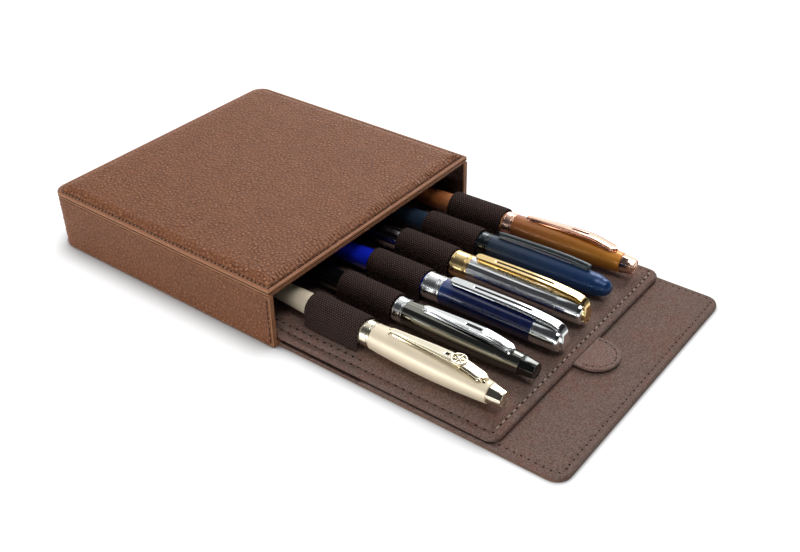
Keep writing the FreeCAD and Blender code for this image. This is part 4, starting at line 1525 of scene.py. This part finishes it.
class Look:
    """How one pen is finished; sizes in millimetres and degrees."""

    def __init__(self, **values):
        defaults = {"rings": 1, "slot": None, "openwork": 0.0, "lines": 0,
                    "crowned": 0.25, "clip_thick": 0.8, "crown": "facets"}
        defaults.update(values)
        for key, value in defaults.items():
            setattr(self, key, value)


LOOKS = [
    Look(turn=2.0, tail=4.4, tip=3.7, barrel="cream", body="cream", trim="pale_gold",
         crown_look="pale_gold", clip="leaf", clip_look="pale_gold", clip_width=6.2, clip_thick=1.3,
         lines=1, slot=(43.4, 45.4), crowned=0.1, openwork=50.3),
    Look(turn=-2.0, tail=4.4, tip=3.9, barrel="black_resin", body="gunmetal", trim="chrome",
         crown_look="black_chrome", clip="leaf", clip_look="chrome", clip_width=6.2, clip_thick=1.3,
         lines=1, slot=(38.0, 47.0), crowned=0.15),
    Look(turn=-2.0, tail=5.0, tip=6.0, barrel="bright_blue", body="navy", trim="chrome", rings=2,
         crown="drum", crown_look="chrome", clip="wrap", clip_look="chrome", clip_width=4.6, clip_thick=2.1,
         slot=(26.5, 57.5), crowned=0.0),
    Look(turn=0.0, tail=5.0, tip=6.0, barrel="engraved_chrome", body="engraved_chrome", trim="gold", rings=2,
         crown="drum", crown_look="chrome", clip="wrap", clip_look="gold", clip_width=4.6, clip_thick=2.1,
         slot=(23.5, 54.5), crowned=0.0),
    Look(turn=14.0, tail=4.6, tip=4.4, barrel="satin_blue", body="satin_blue", trim="dark_metal", rings=2,
         crown="dome", crown_look="satin_blue", clip="rod", clip_look="dark_metal", clip_width=3.6,
         clip_thick=0.5, crowned=1.8),
    Look(turn=6.0, tail=4.4, tip=3.9, barrel="amber_tail", body="amber", trim="rose_gold",
         crown_look="rose_gold", clip="leaf", clip_look="rose_gold", clip_width=5.8, clip_thick=1.1,
         lines=1, slot=(37.25, 46.75), crowned=0.15),
]


def build_loop(pen):
    """An elastic loop: an arch over the barrel with tight rims, its feet spread on the tray."""
    name = "loop_%d" % pen.number
    back = pen.flat.inverted()
    local = [back @ (Vector(v.co) / MM) for v in frame["nodes"][name].data.vertices]
    outer = max(p.x for p in local)
    foot = min(p.z for p in local)
    rear = max(p.y for p in local)
    front = min(p.y for p in local)
    middle = outer - ELASTIC / 2
    bm = bmesh.new()
    leg = [(-middle - 0.75, foot + 0.25), (-middle - 0.3, foot + 1.2)]
    leg += [(-middle, foot + LOOP_FOOT + i * (-foot - LOOP_FOOT) / LOOP_LEG) for i in range(LOOP_LEG)]
    turns = [math.pi * i / LOOP_ARC for i in range(LOOP_ARC + 1)]
    arch = leg + [(-middle * math.cos(turn), middle * math.sin(turn)) for turn in turns]
    arch += [(-x, z) for x, z in reversed(leg)]
    verts = [bm.verts.new((x, rear, z)) for x, z in arch]
    ring = [bm.edges.new((a, b)) for a, b in zip(verts, verts[1:])]
    for _ in range(LOOP_ROWS):
        ring = only(bmesh.types.BMEdge, bmesh.ops.extrude_edge_only(bm, edges=ring)["geom"])
        bmesh.ops.translate(bm, vec=(0, (front - rear) / LOOP_ROWS, 0), verts=verts_of(ring))
    for v in bm.verts:
        at = (v.co.y - front) / (rear - front)
        rim = math.exp(-min(at, 1 - at) * 22)
        shrink = 1 - 0.035 * rim + 0.008 * ripple(v.co.x * 2 + 40 * pen.number, v.co.y, 5)
        v.co.x *= shrink
        if v.co.z > 0:
            v.co.z *= shrink
    bmesh.ops.recalc_face_normals(bm, faces=bm.faces)
    if bm.faces[0].normal.x > 0:
        bmesh.ops.reverse_faces(bm, faces=bm.faces)
    bmesh.ops.solidify(bm, geom=bm.faces[:], thickness=ELASTIC)
    soften(bm, 60, 0.28, 2)
    layer = bm.loops.layers.uv.new("UVMap")
    for face in bm.faces:
        for corner in face.loops:
            p = corner.vert.co
            if p.z > 0:
                round_loop = middle * math.atan2(p.x, p.z)
            else:
                round_loop = math.copysign(middle * math.pi / 2 - p.z, p.x)
            corner[layer].uv = (round_loop * MM, p.y * MM)
    bmesh.ops.transform(bm, matrix=pen.flat, verts=bm.verts)
    finished(bm, name + "_band", ["elastic"], "tray", (name,), sharp=60.0)


def build_pen(number, look):
    pen = PenFrame(number, look.turn)
    build_loop(pen)
    build_barrel(pen, look)
    build_band(pen, look)
    build_cap(pen, look)
    build_crown(pen, look)
    build_clip(pen, look)


def dress_kept_nodes():
    """Finishes of the CAD nodes that stay as they are."""
    wear = {
        "leather": ["base_leather"],
        "board": ["base_board", "wall_board", "lid_board", "panel_board", "tray_board"],
        "lining": ["base_lining", "wall_lining", "lid_lining"],
    }
    for finish, names in wear.items():
        for name in names:
            mesh = frame["nodes"][name].data
            mesh.materials.clear()
            mesh.materials.append(MATERIALS[finish])


# Stage

def build_stage():
    floor = bmesh.new()
    bmesh.ops.create_grid(floor, x_segments=8, y_segments=8, size=FLOOR_HALF)
    bmesh.ops.translate(floor, vec=(0, 0, -FLOOR_DROP), verts=floor.verts)
    mesh = bpy.data.meshes.new("floor")
    floor.to_mesh(mesh)
    floor.free()
    ground = bpy.data.objects.new("floor", mesh)
    bpy.context.scene.collection.objects.link(ground)
    material, tree, shader, _ = new_material("White sweep", {
        "Base Color": (FLOOR_TONE, FLOOR_TONE, FLOOR_TONE, 1.0), "Roughness": 0.9, "Specular IOR Level": 0.1,
        "Emission Color": (1.0, 1.0, 1.0, 1.0)})
    ray = add(tree, "ShaderNodeLightPath").outputs
    seen = math_of(tree, "MAXIMUM", ray["Is Camera Ray"], ray["Is Glossy Ray"])
    seen = math_of(tree, "MAXIMUM", seen, ray["Is Transmission Ray"])
    # Painted contact shadow: the floor's glow is cut back where ambient occlusion finds the case close by.
    clear_of_painted_shadow = add(tree, "ShaderNodeAmbientOcclusion", {"Distance": CONTACT_SHADOW_REACH}).outputs["AO"]
    clear_of_painted_shadow = remap(tree, clear_of_painted_shadow, 0.42, 0.94)
    lift = math_of(tree, "MULTIPLY", math_of(tree, "MULTIPLY", seen, FLOOR_LIFT), clear_of_painted_shadow)
    tree.links.new(lift, shader.inputs["Emission Strength"])
    mesh.materials.append(material)


def lamp(name, place, target, size, power):
    data = bpy.data.lights.new(name, "AREA")
    data.shape = "RECTANGLE"
    data.size, data.size_y = size
    data.energy = power
    light = bpy.data.objects.new(name, data)
    light.location = place
    light.rotation_mode = "QUATERNION"
    light.rotation_quaternion = (Vector(target) - Vector(place)).to_track_quat("-Z", "Y")
    bpy.context.scene.collection.objects.link(light)


def build_light():
    """A pale horizon behind, dark overhead and in front, a key on the right, soft boxes round the case."""
    world = bpy.data.worlds.new("Studio")
    bpy.context.scene.world = world
    world.use_nodes = True
    tree = world.node_tree
    way = add(tree, "ShaderNodeTexCoord").outputs["Generated"]
    parts = add(tree, "ShaderNodeSeparateXYZ", {0: way}).outputs
    tone = mix_colour(tree, remap(tree, parts[2], 0.12, 0.5), HORIZON, ZENITH)
    tree.links.new(tone, tree.nodes["Background"].inputs["Color"])
    behind = remap(tree, parts[1], -0.35, 0.1, 0.3, 1.0)
    tree.links.new(behind, tree.nodes["Background"].inputs["Strength"])
    for name, values in LAMPS.items():
        lamp(name, *values)


def build_camera():
    data = bpy.data.cameras.new("camera")
    data.lens = CAMERA_LENS
    data.sensor_width = 36.0
    data.clip_start = 0.01
    camera = bpy.data.objects.new("camera", data)
    azimuth = math.radians(CAMERA_AZIMUTH)
    elevation = math.radians(CAMERA_ELEVATION)
    level = math.cos(elevation)
    forward = Vector((math.sin(azimuth) * level, math.cos(azimuth) * level, -math.sin(elevation)))
    aim = forward.to_track_quat("-Z", "Y").to_matrix().to_4x4()
    roll = Matrix.Rotation(math.radians(CAMERA_ROLL), 4, "Z")
    camera.matrix_world = Matrix.Translation(Vector(CAMERA_PLACE) * MM) @ aim @ roll
    bpy.context.scene.collection.objects.link(camera)
    bpy.context.scene.camera = camera


build_lid()
build_wall()
build_mouth()
build_tray()
build_tab()
build_flap()
for pen_number, pen_look in enumerate(LOOKS, 1):
    build_pen(pen_number, pen_look)
dress_kept_nodes()
build_stage()
build_light()
build_camera()
bpy.context.scene.view_settings.view_transform = "Standard"
